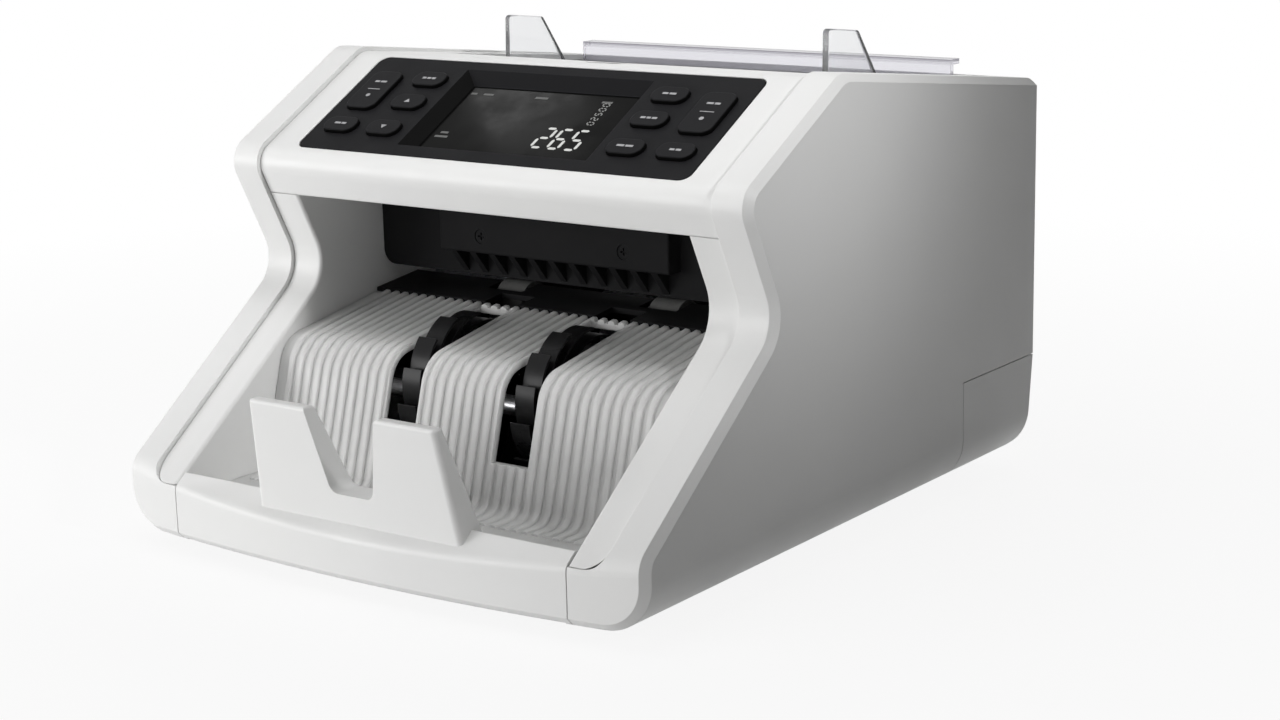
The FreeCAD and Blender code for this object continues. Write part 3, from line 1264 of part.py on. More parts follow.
def chassis_plate(side):
    rear_y = REAR_Y - REAR_TUCK - CHASSIS_MARGIN
    outline = [
        (STACKER_Y - CHASSIS_REACH, PAN_TOP_Z),
        (STACKER_Y - CHASSIS_REACH, STACKER_Z - CHASSIS_MARGIN),
        (WAIST_Y + CHASSIS_MARGIN, WAIST_Z - CHASSIS_MARGIN),
        (WAIST_Y + CHASSIS_MARGIN, HOUSING_BOTTOM_Z - CHASSIS_MARGIN),
        (THROAT_BACK_Y, HOUSING_BOTTOM_Z - CHASSIS_MARGIN),
        (FLOOR_FRONT_Y, top_z(FLOOR_FRONT_Y) - CHASSIS_MARGIN),
        (rear_y, top_z(rear_y) - CHASSIS_MARGIN),
        (rear_y, PAN_TOP_Z),
    ]
    x0 = CHASSIS_X if side > 0 else -CHASSIS_OUT_X
    plate = slab_x(outline, x0, x0 + CHASSIS_THICKNESS)
    for y, z in TURNING_SHAFTS:
        plate = plate.cut(rod_x(BUSH_RADIUS + BUSH_FIT, x0, x0 + CHASSIS_THICKNESS, y, z))
    plate = plate.cut(rod_x(SHAFT_RADIUS, x0, x0 + CHASSIS_THICKNESS, RETARD_Y, RETARD_Z))
    pinch_hole = PINCH_SHAFT_RADIUS + RUNNING_FIT
    plate = plate.cut(rod_x(pinch_hole, x0, x0 + CHASSIS_THICKNESS, TRANSPORT_Y, PINCH_Z))
    if side < 0:
        plate = plate.cut(rod_x(MOTOR_SHAFT_RADIUS + WALL, x0, x0 + CHASSIS_THICKNESS, MOTOR_Y, MOTOR_Z))
    return plate


def shaft_bushes():
    bushes = []
    for y, z in TURNING_SHAFTS:
        bush = ring_x(BUSH_RADIUS, SHAFT_RADIUS + BUSH_FIT, CHASSIS_X, BUSH_OUT_X, y, z)
        bushes += [bush, mirrored(bush)]
    return Part.makeCompound(bushes)


def turning_shaft(y, z):
    return rod_x(SHAFT_RADIUS, -PULLEY_X - PULLEY_WIDTH, BUSH_OUT_X + SHAFT_END, y, z)


def roller_pair(radius, width, x, y, z):
    return both_sides(ring_x(radius, SHAFT_RADIUS, x - width / 2, x + width / 2, y, z))


def feed_rollers():
    return roller_pair(FEED_ROLLER_RADIUS, FEED_ROLLER_WIDTH, FEED_ROLLER_X, FEED_Y, FEED_Z)


def pickup_rollers():
    return roller_pair(PICKUP_RADIUS, PICKUP_WIDTH, FEED_ROLLER_X, PICKUP_Y, PICKUP_Z)


def transport_rollers():
    return roller_pair(TRANSPORT_RADIUS, TRANSPORT_WIDTH, TRANSPORT_X, TRANSPORT_Y, TRANSPORT_Z)


def pulley_blank(radius, y, z, x0, width, belt_width):
    """Flanged pulley with no bore, from x0 along X."""
    body = rod_x(radius, x0, x0 + width, y, z)
    cheek = (width - belt_width) / 2 - BELT_GAP
    for cheek_x in (x0, x0 + width - cheek):
        body = body.fuse(rod_x(radius + PULLEY_FLANGE + BELT_GAP, cheek_x, cheek_x + cheek, y, z))
    return body.removeSplitter()


def outer_pulley(radius, y, z):
    return outer_pulley_blank(radius, y, z).cut(rod_x(SHAFT_RADIUS, -WIDTH, 0, y, z))


def outer_pulley_blank(radius, y, z):
    return pulley_blank(radius, y, z, -PULLEY_X - PULLEY_WIDTH, PULLEY_WIDTH, BELT_WIDTH)


def inner_pulley_blank(radius, y, z):
    x0 = -INNER_PULLEY_X - INNER_PULLEY_WIDTH
    return pulley_blank(radius, y, z, x0, INNER_PULLEY_WIDTH, INNER_BELT_WIDTH)


def feed_pulley():
    """Double pulley: the outer groove takes the main belt, the inner one the transport belt."""
    neck = rod_x(FEED_PULLEY_RADIUS / 2, -PULLEY_X, -INNER_PULLEY_X, FEED_Y, FEED_Z)
    inner = inner_pulley_blank(FEED_INNER_PULLEY_RADIUS, FEED_Y, FEED_Z)
    outer = outer_pulley_blank(FEED_PULLEY_RADIUS, FEED_Y, FEED_Z)
    blank = outer.multiFuse([neck, inner]).removeSplitter()
    return blank.cut(rod_x(SHAFT_RADIUS, -WIDTH, 0, FEED_Y, FEED_Z))


def transport_shaft():
    """Moulded shaft with its own pulley."""
    pulley = inner_pulley_blank(TRANSPORT_PULLEY_RADIUS, TRANSPORT_Y, TRANSPORT_Z)
    shaft = rod_x(SHAFT_RADIUS, -INNER_PULLEY_X, BUSH_OUT_X + SHAFT_END, TRANSPORT_Y, TRANSPORT_Z)
    return shaft.fuse(pulley).removeSplitter()


def roller_shaft(shaft_radius, radius, width, x, y, z):
    """One piece: a shaft that ends in the chassis plates, with a pair of rollers on it."""
    shaft = rod_x(shaft_radius, -CHASSIS_OUT_X, CHASSIS_OUT_X, y, z)
    rollers = [rod_x(radius, middle - width / 2, middle + width / 2, y, z) for middle in (-x, x)]
    return shaft.multiFuse(rollers).removeSplitter()


def retard_rollers():
    return roller_shaft(SHAFT_RADIUS, RETARD_RADIUS, RETARD_WIDTH, FEED_ROLLER_X, RETARD_Y, RETARD_Z)


def pinch_rollers():
    return roller_shaft(PINCH_SHAFT_RADIUS, PINCH_RADIUS, TRANSPORT_WIDTH, TRANSPORT_X, TRANSPORT_Y, PINCH_Z)


def drive_motor():
    can = rod_x(MOTOR_RADIUS, -CHASSIS_X, -CHASSIS_X + MOTOR_LENGTH, MOTOR_Y, MOTOR_Z)
    end_x = -CHASSIS_X + MOTOR_LENGTH
    bore_radius = MOTOR_SHAFT_RADIUS + RUNNING_FIT
    rear_boss = rod_x(MOTOR_BOSS_RADIUS, end_x, end_x + WALL, MOTOR_Y, MOTOR_Z)
    bore = rod_x(bore_radius, -CHASSIS_X, -CHASSIS_X + MOTOR_LENGTH / 3, MOTOR_Y, MOTOR_Z)
    return can.fuse(rear_boss).removeSplitter().cut(bore)


def motor_pulley():
    end_x = -CHASSIS_X + MOTOR_LENGTH / 4
    shaft = rod_x(MOTOR_SHAFT_RADIUS, -PULLEY_X - PULLEY_WIDTH, end_x, MOTOR_Y, MOTOR_Z)
    return outer_pulley_blank(MOTOR_PULLEY_RADIUS, MOTOR_Y, MOTOR_Z).fuse(shaft).removeSplitter()


# Belts: taut loops round their pulleys, which are listed clockwise seen from the left
MAIN_PULLEYS = [
    (STACKER_Y, STACKER_Z, STACKER_PULLEY_RADIUS),
    (FEED_Y, FEED_Z, FEED_PULLEY_RADIUS),
    (PICKUP_Y, PICKUP_Z, PICKUP_PULLEY_RADIUS),
    (MOTOR_Y, MOTOR_Z, MOTOR_PULLEY_RADIUS),
]
TRANSPORT_PULLEYS = [
    (TRANSPORT_Y, TRANSPORT_Z, TRANSPORT_PULLEY_RADIUS),
    (FEED_Y, FEED_Z, FEED_INNER_PULLEY_RADIUS),
]


def turned(normal, angle):
    """A direction in the YZ plane turned clockwise, with Y to the right."""
    return normal * math.cos(angle) + vec(0, normal.z, -normal.y) * math.sin(angle)


def clockwise_angle(start, end):
    return (math.atan2(start.z, start.y) - math.atan2(end.z, end.y)) % (2 * math.pi)


def belt_loop(pulleys, grow, x0):
    """Wire of tangent runs and arcs round the pulleys."""
    circles = [(vec(x0, y, z), radius + grow) for y, z, radius in pulleys]
    count = len(circles)
    touch = []
    for i, (here, r0) in enumerate(circles):
        there, r1 = circles[(i + 1) % count]
        along = there - here
        span = along.Length
        along.normalize()
        left = vec(0, -along.z, along.y)
        lean = (r0 - r1) / span
        normal = along * lean + left * math.sqrt(1 - lean ** 2)
        touch.append((here + normal * r0, there + normal * r1, normal))
    edges = []
    for i, (here, radius) in enumerate(circles):
        arrive, leave = touch[i - 1], touch[i]
        outward = turned(arrive[2], clockwise_angle(arrive[2], leave[2]) / 2)
        middle = here + outward * radius
        edges.append(Part.Arc(arrive[1], middle, leave[0]).toShape())
        edges.append(Part.LineSegment(leave[0], leave[1]).toShape())
    return Part.Wire(edges)


def belt(pulleys, x0, width):
    outer = Part.Face(belt_loop(pulleys, BELT_GAP + BELT_THICKNESS, x0)).extrude(vec(width, 0, 0))
    inner = Part.Face(belt_loop(pulleys, BELT_GAP, x0)).extrude(vec(width, 0, 0))
    return outer.cut(inner)


def drive_belt():
    return belt(MAIN_PULLEYS, -PULLEY_X - PULLEY_WIDTH / 2 - BELT_WIDTH / 2, BELT_WIDTH)


def transport_belt():
    middle_x = -INNER_PULLEY_X - INNER_PULLEY_WIDTH / 2
    return belt(TRANSPORT_PULLEYS, middle_x - INNER_BELT_WIDTH / 2, INNER_BELT_WIDTH)


# Electronics
def main_board():
    z0 = PAN_TOP_Z + STANDOFF_HEIGHT
    x0, x1 = MAIN_BOARD_X - MAIN_BOARD_WIDTH / 2, MAIN_BOARD_X + MAIN_BOARD_WIDTH / 2
    y0, y1 = MAIN_BOARD_Y - MAIN_BOARD_LENGTH / 2, MAIN_BOARD_Y + MAIN_BOARD_LENGTH / 2
    board = box(x0, x1, y0, y1, z0, z0 + BOARD_THICKNESS)
    top = z0 + BOARD_THICKNESS
    pieces = []
    half = CHIP_SIZE / 2
    for i in range(CHIP_COUNT):
        x = x0 + MAIN_BOARD_WIDTH * (i + 0.5) / CHIP_COUNT
        chip_y = MAIN_BOARD_Y - half
        pieces.append(box(x - half, x + half, chip_y, chip_y + CHIP_SIZE, top, top + CHIP_HEIGHT))
        plug_x, plug_y = x - PLUG_WIDTH / 2, y1 - PLUG_DEPTH - CHIP_HEIGHT
        plug = box(plug_x, plug_x + PLUG_WIDTH, plug_y, plug_y + PLUG_DEPTH, top, top + PLUG_HEIGHT)
        pieces.append(plug)
    return board.multiFuse(pieces).removeSplitter()


def power_supply():
    x0, x1 = SUPPLY_X - SUPPLY_WIDTH / 2, SUPPLY_X + SUPPLY_WIDTH / 2
    y0, y1 = SUPPLY_Y - SUPPLY_LENGTH / 2, SUPPLY_Y + SUPPLY_LENGTH / 2
    top = PAN_TOP_Z + SUPPLY_HEIGHT
    case = box(x0, x1, y0, y1, PAN_TOP_Z, top)
    vents = []
    for i in range(VENT_COUNT):
        x = x0 + SUPPLY_WIDTH * (i + 1) / (VENT_COUNT + 1) - VENT_WIDTH / 2
        vents.append(box(x, x + VENT_WIDTH, y0 + VENT_INSET, y1 - VENT_INSET, top - VENT_DEPTH, top))
    return case.cut(Part.makeCompound(vents))


def screw(x, y, z, facing):
    """Pan-head screw along Y; facing is the way its head points."""
    head_y = min(y, y + facing * SCREW_HEAD_HEIGHT)
    shank_y = min(y, y - facing * SCREW_SHANK_LENGTH)
    head = rod_y(SCREW_HEAD_RADIUS, head_y, head_y + SCREW_HEAD_HEIGHT, x, z)
    shank = rod_y(SCREW_SHANK_RADIUS, shank_y, shank_y + SCREW_SHANK_LENGTH, x, z)
    slot_y = min(y + facing * SCREW_HEAD_HEIGHT / 2, y + facing * SCREW_HEAD_HEIGHT)
    body = head.fuse(shank).removeSplitter()
    for half_x, half_z in ((SCREW_CROSS_HALF, SCREW_CROSS_GAP / 2), (SCREW_CROSS_GAP / 2, SCREW_CROSS_HALF)):
        slot = box(x - half_x, x + half_x, slot_y, slot_y + SCREW_HEAD_HEIGHT / 2, z - half_z, z + half_z)
        body = body.cut(slot)
    return body


def cover_screws():
    screws = [screw(x, REAR_Y, z, 1) for x, z in rear_screw_places()]
    seat_y = PANEL_FACE_Y - CENTRE_PLATE_DEPTH + SCREW_HEAD_HEIGHT + SEAM
    screws += [screw(side * THROAT_SCREW_X, seat_y, THROAT_SCREW_Z, -1) for side in (-1, 1)]
    return Part.makeCompound(screws)


def write(name, shape):
    shape.exportStep("parts/" + name + ".step")


os.makedirs("parts", exist_ok=True)
write("base_pan", base_pan())
write("rubber_feet", rubber_feet())
COVER = right_side_cover()
write("right_side_cover", COVER)
write("left_side_cover", mirrored(COVER))
COLUMN = right_column()
write("right_column", COLUMN)
write("left_column", mirrored(COLUMN))
write("stacker_front", stacker_front())
write("stacker_ramp", stacker_ramp())
write("control_housing", control_housing())
write("control_panel", control_panel())
write("display_lens", display_lens())
write("display_module", display_module())
write("keypad_board", keypad_board())
for key_name in KEYS:
    write(key_name, key(key_name))
write("throat_panel", throat_panel())
write("exit_plate", exit_plate())
write("top_cover", top_cover())
write("gap_adjust_knob", gap_adjust_knob())
write("hopper_tray", hopper_tray())
write("hopper_guide_left", hopper_guide(-1))
write("hopper_guide_right", hopper_guide(1))
write("guide_rail", guide_rail())
write("hopper_rear_plate", hopper_rear_plate())
write("rear_cover", rear_cover())
write("power_inlet", power_inlet())
write("switch_frame", switch_frame())
write("switch_rocker", switch_rocker())
write("data_ports", data_ports())
write("cover_screws", cover_screws())
write("left_chassis_plate", chassis_plate(-1))
write("right_chassis_plate", chassis_plate(1))
write("shaft_bushes", shaft_bushes())
write("feed_shaft", turning_shaft(FEED_Y, FEED_Z))
write("feed_rollers", feed_rollers())
write("feed_pulley", feed_pulley())
write("pickup_shaft", turning_shaft(PICKUP_Y, PICKUP_Z))
write("pickup_rollers", pickup_rollers())
write("pickup_pulley", outer_pulley(PICKUP_PULLEY_RADIUS, PICKUP_Y, PICKUP_Z))
write("retard_rollers", retard_rollers())
write("pinch_rollers", pinch_rollers())
write("transport_shaft", transport_shaft())
write("transport_rollers", transport_rollers())
write("stacker_shaft", turning_shaft(STACKER_Y, STACKER_Z))
write("stacker_wheels", stacker_wheels())
write("stacker_pulley", outer_pulley(STACKER_PULLEY_RADIUS, STACKER_Y, STACKER_Z))
write("drive_motor", drive_motor())
write("motor_pulley", motor_pulley())
write("drive_belt", drive_belt())
write("transport_belt", transport_belt())
write("main_board", main_board())
write("power_supply", power_supply())
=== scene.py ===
"""Looks of the banknote counting machine: finishes for every CAD piece, key marks and display digits."""
import bpy
import bmesh
import json
import math
from mathutils import Matrix, Vector


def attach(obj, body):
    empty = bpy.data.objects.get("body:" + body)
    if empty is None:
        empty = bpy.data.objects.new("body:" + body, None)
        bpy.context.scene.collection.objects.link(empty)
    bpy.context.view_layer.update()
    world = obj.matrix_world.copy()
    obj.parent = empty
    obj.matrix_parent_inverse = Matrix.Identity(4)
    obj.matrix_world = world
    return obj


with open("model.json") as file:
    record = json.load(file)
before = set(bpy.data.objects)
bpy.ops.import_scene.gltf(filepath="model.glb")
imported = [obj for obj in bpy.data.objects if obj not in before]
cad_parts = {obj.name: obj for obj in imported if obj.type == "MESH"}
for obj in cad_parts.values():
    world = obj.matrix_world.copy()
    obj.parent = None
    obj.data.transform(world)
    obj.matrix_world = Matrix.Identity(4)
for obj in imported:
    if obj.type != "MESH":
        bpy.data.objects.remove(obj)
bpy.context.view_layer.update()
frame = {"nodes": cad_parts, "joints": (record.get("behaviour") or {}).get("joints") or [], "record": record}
NODES = frame["nodes"]

# Camera at the photograph's viewing angle, in metres and degrees; pixels are of a 1280 x 720 picture
PICTURE_WIDTH = 1280.0
PICTURE_HEIGHT = 720.0
CAMERA_AZIMUTH = 36.09
CAMERA_ELEVATION = 13.68
CAMERA_ROLL = 1.36
CAMERA_DISTANCE = 1.01535
CAMERA_TARGET = Vector((0.0, 0.0362, 0.04383))
FOCAL_PIXELS = 2420.96
CENTRE_PIXEL_X = 641.35
CENTRE_PIXEL_Y = 379.5
SENSOR_WIDTH = 36.0


def camera():
    azimuth = math.radians(CAMERA_AZIMUTH)
    elevation = math.radians(CAMERA_ELEVATION)
    roll = math.radians(CAMERA_ROLL)
    flat = math.cos(elevation)
    back = Vector((math.sin(azimuth) * flat, -math.cos(azimuth) * flat, math.sin(elevation)))
    level_right = Vector((math.cos(azimuth), math.sin(azimuth), 0.0))
    level_up = back.cross(level_right)
    right = level_right * math.cos(roll) - level_up * math.sin(roll)
    up = level_up * math.cos(roll) + level_right * math.sin(roll)
    data = bpy.data.cameras.new("camera")
    data.sensor_width = SENSOR_WIDTH
    data.lens = FOCAL_PIXELS * SENSOR_WIDTH / PICTURE_WIDTH
    data.shift_x = (PICTURE_WIDTH / 2 - CENTRE_PIXEL_X) / PICTURE_WIDTH
    data.shift_y = (CENTRE_PIXEL_Y - PICTURE_HEIGHT / 2) / PICTURE_WIDTH
    item = bpy.data.objects.new("camera", data)
    place = Matrix((right, up, back)).transposed().to_4x4()
    place.translation = CAMERA_TARGET + back * CAMERA_DISTANCE
    item.matrix_world = place
    bpy.context.scene.collection.objects.link(item)
    bpy.context.scene.camera = item


# Shader nodes: lengths in metres, noise scales in cells to the metre
NOISE_LOW = 0.3
NOISE_HIGH = 0.7
BEVEL_SAMPLES = 4
# Dot product of the true and the rounded normal where an edge mask is full: wear and painted highlight on
# plastic edges, painted shade on clear sheets' edges
FULL_EDGE_DOT = 0.8


def new_material(name):
    material = bpy.data.materials.new(name)
    material.use_nodes = True
    tree = material.node_tree
    return material, tree, tree.nodes["Principled BSDF"]


def fill(tree, node, inputs):
    """Set inputs of a node: a socket is linked, a colour gets its alpha, other values are written in."""
    for key, value in inputs.items():
        socket = node.inputs[key]
        if isinstance(value, bpy.types.NodeSocket):
            tree.links.new(value, socket)
        elif socket.type == "RGBA":
            socket.default_value = (*value, 1.0)
        else:
            socket.default_value = value


def add(tree, kind, inputs, output, **settings):
    """Add a shader node with its settings and inputs, and return one of its outputs."""
    node = tree.nodes.new("ShaderNode" + kind)
    for name, value in settings.items():
        setattr(node, name, value)
    fill(tree, node, inputs)
    return node.outputs[output]


def own_place(tree):
    """Place on the object, in its own metres."""
    return add(tree, "TexCoord", {}, "Object")


def noise(tree, scale, detail, roughness=0.55, place=None):
    """Noise at the object's own place, or at another one."""
    if place is None:
        place = own_place(tree)
    inputs = {"Vector": place, "Scale": scale, "Detail": detail, "Roughness": roughness}
    return add(tree, "TexNoise", inputs, "Fac")


def remap(tree, value, start, end, low=0.0, high=1.0):
    """Go from low to high as a value goes from start to end, and stay there beyond."""
    inputs = {"Value": value, "From Min": start, "From Max": end, "To Min": low, "To Max": high}
    return add(tree, "MapRange", inputs, "Result")


def spread(tree, value, low, high):
    """Spread noise, which lies mostly about its middle, over a whole range."""
    return remap(tree, value, NOISE_LOW, NOISE_HIGH, low, high)


def around(tree, value, middle, reach):
    """Spread noise over a range about a middle."""
    return spread(tree, value, middle - reach, middle + reach)


def mixed(tree, factor, first, second):
    """Colour between two colours or colour sockets, by a factor socket."""
    return add(tree, "Mix", {"A": first, "B": second, "Factor": factor}, "Result", data_type="RGBA")


def scaled(colour, factor):
    return [min(1.0, part * factor) for part in colour]


def dot(tree, first, second):
    return add(tree, "VectorMath", {0: first, 1: second}, "Value", operation="DOT_PRODUCT")


def rounded_normal(tree, radius):
    """Normal of the surface as if its sharp edges were rounded."""
    return add(tree, "Bevel", {"Radius": radius}, "Normal", samples=BEVEL_SAMPLES)


def edge_mask(tree, radius):
    """One along sharp edges, from how far a rounded normal turns from the true one."""
    true_normal = add(tree, "NewGeometry", {}, "Normal")
    return remap(tree, dot(tree, rounded_normal(tree, radius), true_normal), 1.0, FULL_EDGE_DOT)


def facing(tree, direction, start, end):
    """Zero to one as a normal's share along a direction, either way round, goes from start to end."""
    own_normal = add(tree, "TexCoord", {}, "Normal")
    share = add(tree, "Math", {0: dot(tree, own_normal, direction)}, "Value", operation="ABSOLUTE")
    return remap(tree, share, start, end)


def above(tree, level):
    """One above a height in the object's own place, zero below."""
    height = add(tree, "SeparateXYZ", {"Vector": own_place(tree)}, "Z")
    return add(tree, "Math", {0: height, 1: level}, "Value", operation="GREATER_THAN")


def relief(tree, height, strength, distance, edge_radius=None):
    """Normal of a fine relief, over rounded edges that catch light if a radius is given."""
    inputs = {"Height": height, "Strength": strength, "Distance": distance}
    if edge_radius:
        inputs["Normal"] = rounded_normal(tree, edge_radius)
    return add(tree, "Bump", inputs, "Normal")


# Kinds of material
# Colour of painted shade on the faces that facing() picks
PAINTED_SHADE_BLACK = (0.002, 0.002, 0.002)
WEAR_AND_HIGHLIGHT_REACH = 1.5
GRAIN_HEIGHT = 0.0002


def plastic(name, colour, shade, wear_and_highlight, roughness, grain, depth, edge_radius, specular, painted_shade_faces=None):
    """Moulded plastic: fine grain, slight drift to a shade, paler edges for wear and painted highlight, and
    painted shade where facing() says.
    """
    material, tree, shader = new_material(name)
    drift = spread(tree, noise(tree, scale=14.0, detail=3.0), 0.0, 1.0)
    body = mixed(tree, drift, colour, shade)
    # Paler sharp edges: wear, and painted highlight
    body = mixed(tree, edge_mask(tree, edge_radius * WEAR_AND_HIGHLIGHT_REACH), body, wear_and_highlight)
    # Painted shade: faces that facing() picks go nearly black
    if painted_shade_faces:
        body = mixed(tree, facing(tree, *painted_shade_faces), body, PAINTED_SHADE_BLACK)
    patches = noise(tree, scale=60.0, detail=4.0)
    fill(tree, shader, {
        "Base Color": body,
        "Roughness": around(tree, patches, roughness, reach=0.05),
        "Specular IOR Level": specular,
        "Normal": relief(tree, noise(tree, grain, detail=2.0), depth, GRAIN_HEIGHT, edge_radius),
    })
    return material


def let_light_in(material, depth):
    """Light spreads a little way inside, which softens grooves."""
    tree = material.node_tree
    fill(tree, tree.nodes["Principled BSDF"], {
        "Subsurface Weight": 0.7,
        "Subsurface Radius": (1.0, 1.0, 1.0),
        "Subsurface Scale": depth,
    })


def metal(name, colour, roughness, cells):
    """Metal with fine marks, drawn out along the axes that have fewer cells to the metre."""
    material, tree, shader = new_material(name)
    place = add(tree, "Mapping", {"Vector": own_place(tree), "Scale": cells}, "Vector")
    marks = noise(tree, scale=1.0, detail=3.0, roughness=0.5, place=place)
    fill(tree, shader, {
        "Base Color": mixed(tree, marks, colour, scaled(colour, 0.82)),
        "Roughness": around(tree, marks, roughness, reach=0.06),
        "Metallic": 1.0,
        "Normal": relief(tree, marks, strength=0.12, distance=0.0001, edge_radius=0.0002),
    })
    return material


def rubber(name, colour, shade):
    """Dull rubber with fine grain and a drift to a shade."""
    material, tree, shader = new_material(name)
    drift = spread(tree, noise(tree, scale=220.0, detail=4.0), 0.0, 1.0)
    grain = noise(tree, scale=2200.0, detail=3.0)
    fill(tree, shader, {
        "Base Color": mixed(tree, drift, colour, shade),
        "Roughness": around(tree, noise(tree, scale=400.0, detail=3.0), 0.71, reach=0.09),
        "Specular IOR Level": 0.3,
        "Normal": relief(tree, grain, strength=0.35, distance=GRAIN_HEIGHT, edge_radius=0.0003),
    })
    return material


def clear(name, colour, edge, edge_level):
    """Clear or tinted sheet with a faint haze, with painted shade at its cut edges and above a level."""
    material, tree, shader = new_material(name)
    haze = noise(tree, scale=500.0, detail=2.0)
    body = mixed(tree, haze, colour, scaled(colour, 1.02))
    # Painted shade: the cut edges and the band above the level take the dark edge colour
    body = mixed(tree, edge_mask(tree, radius=0.0008), body, edge)
    body = mixed(tree, above(tree, edge_level), body, edge)
    fill(tree, shader, {
        "Base Color": body,
        "Roughness": around(tree, haze, 0.02, reach=0.004),
        "Transmission Weight": 0.90,
        "IOR": 1.2,
    })
    return material


def glow(name, strength):
    """Lit display segment, slightly uneven."""
    material, tree, shader = new_material(name)
    patches = noise(tree, scale=700.0, detail=1.0)
    fill(tree, shader, {
        "Base Color": (0.02, 0.02, 0.02),
        "Emission Color": (0.92, 0.93, 0.90),
        "Emission Strength": around(tree, patches, strength, reach=strength * 0.1),
        "Roughness": 0.5,
    })
    return material


def printed(name, colour):
    """Ink of the key marks."""
    material, tree, shader = new_material(name)
    patches = noise(tree, scale=2500.0, detail=2.0)
    fill(tree, shader, {
        "Base Color": mixed(tree, patches, colour, scaled(colour, 1.15)),
        "Roughness": 0.55,
    })
    return material


def board(name):
    """Circuit board: green lacquer with paler tracks."""
    material, tree, shader = new_material(name)
    lacquer = add(tree, "TexBrick", {
        "Vector": own_place(tree),
        "Scale": 130.0,
        "Color1": (0.015, 0.11, 0.045),
        "Color2": (0.02, 0.14, 0.06),
        "Mortar": (0.05, 0.22, 0.1),
        "Mortar Size": 0.012,
    }, "Color")
    tracks = lacquer.node.outputs["Fac"]
    fill(tree, shader, {
        "Base Color": lacquer,
        "Roughness": around(tree, noise(tree, scale=90.0, detail=2.0), 0.36, reach=0.06),
        "Normal": relief(tree, tracks, strength=0.15, distance=0.0001),
    })
    return material


# Directions of the sloped panel, read from the frame
PRESS_AXES = [joint["axis"] for joint in frame["joints"] if joint["name"].endswith("_press")]
OUTWARD = -Vector(PRESS_AXES[0]).normalized()
ACROSS = Vector((1.0, 0.0, 0.0))
UPWARD = OUTWARD.cross(ACROSS)

# Depth of the band of painted shade that stands for the dark cut edge along the top of the hopper's sheets,
# in metres
GUIDE_EDGE_SHADE = 0.0006
PLATE_EDGE_SHADE = 0.0012


def top_of(node):
    return max(vertex.co.z for vertex in NODES[node].data.vertices)


# Finishes: each plastic and rubber has its colour and its shade, and each plastic the colour of its paler
# edges, for wear and painted highlight
WHITE = plastic("white_plastic", (0.80, 0.80, 0.79), (0.785, 0.785, 0.78), (0.84, 0.84, 0.83),
                roughness=0.42, grain=2600.0, depth=0.06, edge_radius=0.0004, specular=0.3)
# Ramp: pale grey plastic, its colour set darker still as painted shade for the shade that falls on it in the
# throat
RAMP = plastic("ramp_plastic", (0.64, 0.64, 0.63), (0.62, 0.62, 0.615), (0.68, 0.68, 0.67),
               roughness=0.42, grain=2600.0, depth=0.05, edge_radius=0.0003, specular=0.3)
let_light_in(RAMP, depth=0.012)
# Panel: faces turned across, such as the display window's side walls, are painted nearly black as painted
# shade
PANEL = plastic("panel_plastic", (0.011, 0.011, 0.012), (0.0095, 0.0095, 0.0105), (0.024, 0.024, 0.027),
                roughness=0.50, grain=3600.0, depth=0.16, edge_radius=0.0003, specular=0.04,
                painted_shade_faces=(ACROSS, 0.08, 0.25))
# Keys: side walls, turned from the outward face, are painted nearly black as painted shadow
KEY = plastic("key_plastic", (0.010, 0.010, 0.011), (0.0085, 0.0085, 0.0095), (0.030, 0.030, 0.033),
              roughness=0.46, grain=3000.0, depth=0.10, edge_radius=0.0003, specular=0.045,
              painted_shade_faces=(OUTWARD, 0.85, 0.45))
BLACK = plastic("black_plastic", (0.013, 0.013, 0.0135), (0.011, 0.011, 0.0115), (0.022, 0.022, 0.023),
                roughness=0.50, grain=2400.0, depth=0.2, edge_radius=0.0003, specular=0.02)
GLOSSY = plastic("glossy_black", (0.010, 0.010, 0.0105), (0.008, 0.008, 0.0085), (0.024, 0.024, 0.025),
                 roughness=0.30, grain=2400.0, depth=0.05, edge_radius=0.0003, specular=0.12)
LENS = plastic("dark_lens", (0.002, 0.002, 0.0018), (0.0016, 0.0016, 0.0014), (0.004, 0.004, 0.0035),
               roughness=0.11, grain=900.0, depth=0.0, edge_radius=0.0002, specular=0.03)
SCREEN = plastic("dark_screen", (0.010, 0.011, 0.009), (0.008, 0.009, 0.007), (0.012, 0.013, 0.011),
                 roughness=0.30, grain=900.0, depth=0.02, edge_radius=0.0002, specular=0.2)
RUBBER = rubber("black_rubber", (0.020, 0.020, 0.020), (0.032, 0.032, 0.031))
GREY_RUBBER = rubber("grey_rubber", (0.10, 0.10, 0.097), (0.13, 0.13, 0.126))
STEEL = metal("plated_steel", (0.58, 0.58, 0.60), roughness=0.30, cells=(40.0, 2200.0, 2200.0))
BRASS = metal("bush_brass", (0.62, 0.43, 0.16), roughness=0.34, cells=(900.0, 900.0, 900.0))
CASE = metal("supply_case", (0.62, 0.63, 0.64), roughness=0.42, cells=(30.0, 1600.0, 1600.0))
# Clear sheets: the second colour is the painted shade of their cut edges and top band
CLEAR = clear("clear_plastic", (0.92, 0.925, 0.935), (0.40, 0.41, 0.43),
              edge_level=top_of("hopper_guide_right") - GUIDE_EDGE_SHADE)
SMOKE = clear("smoke_plastic", (0.87, 0.862, 0.908), (0.38, 0.372, 0.41),
              edge_level=top_of("hopper_rear_plate") - PLATE_EDGE_SHADE)
BOARD = board("circuit_board")
GLOW = glow("display_glow", strength=0.65)
SOFT = glow("display_soft", strength=0.24)
DIM = glow("display_dim", strength=0.08)
INK = printed("key_ink", (0.34, 0.34, 0.35))

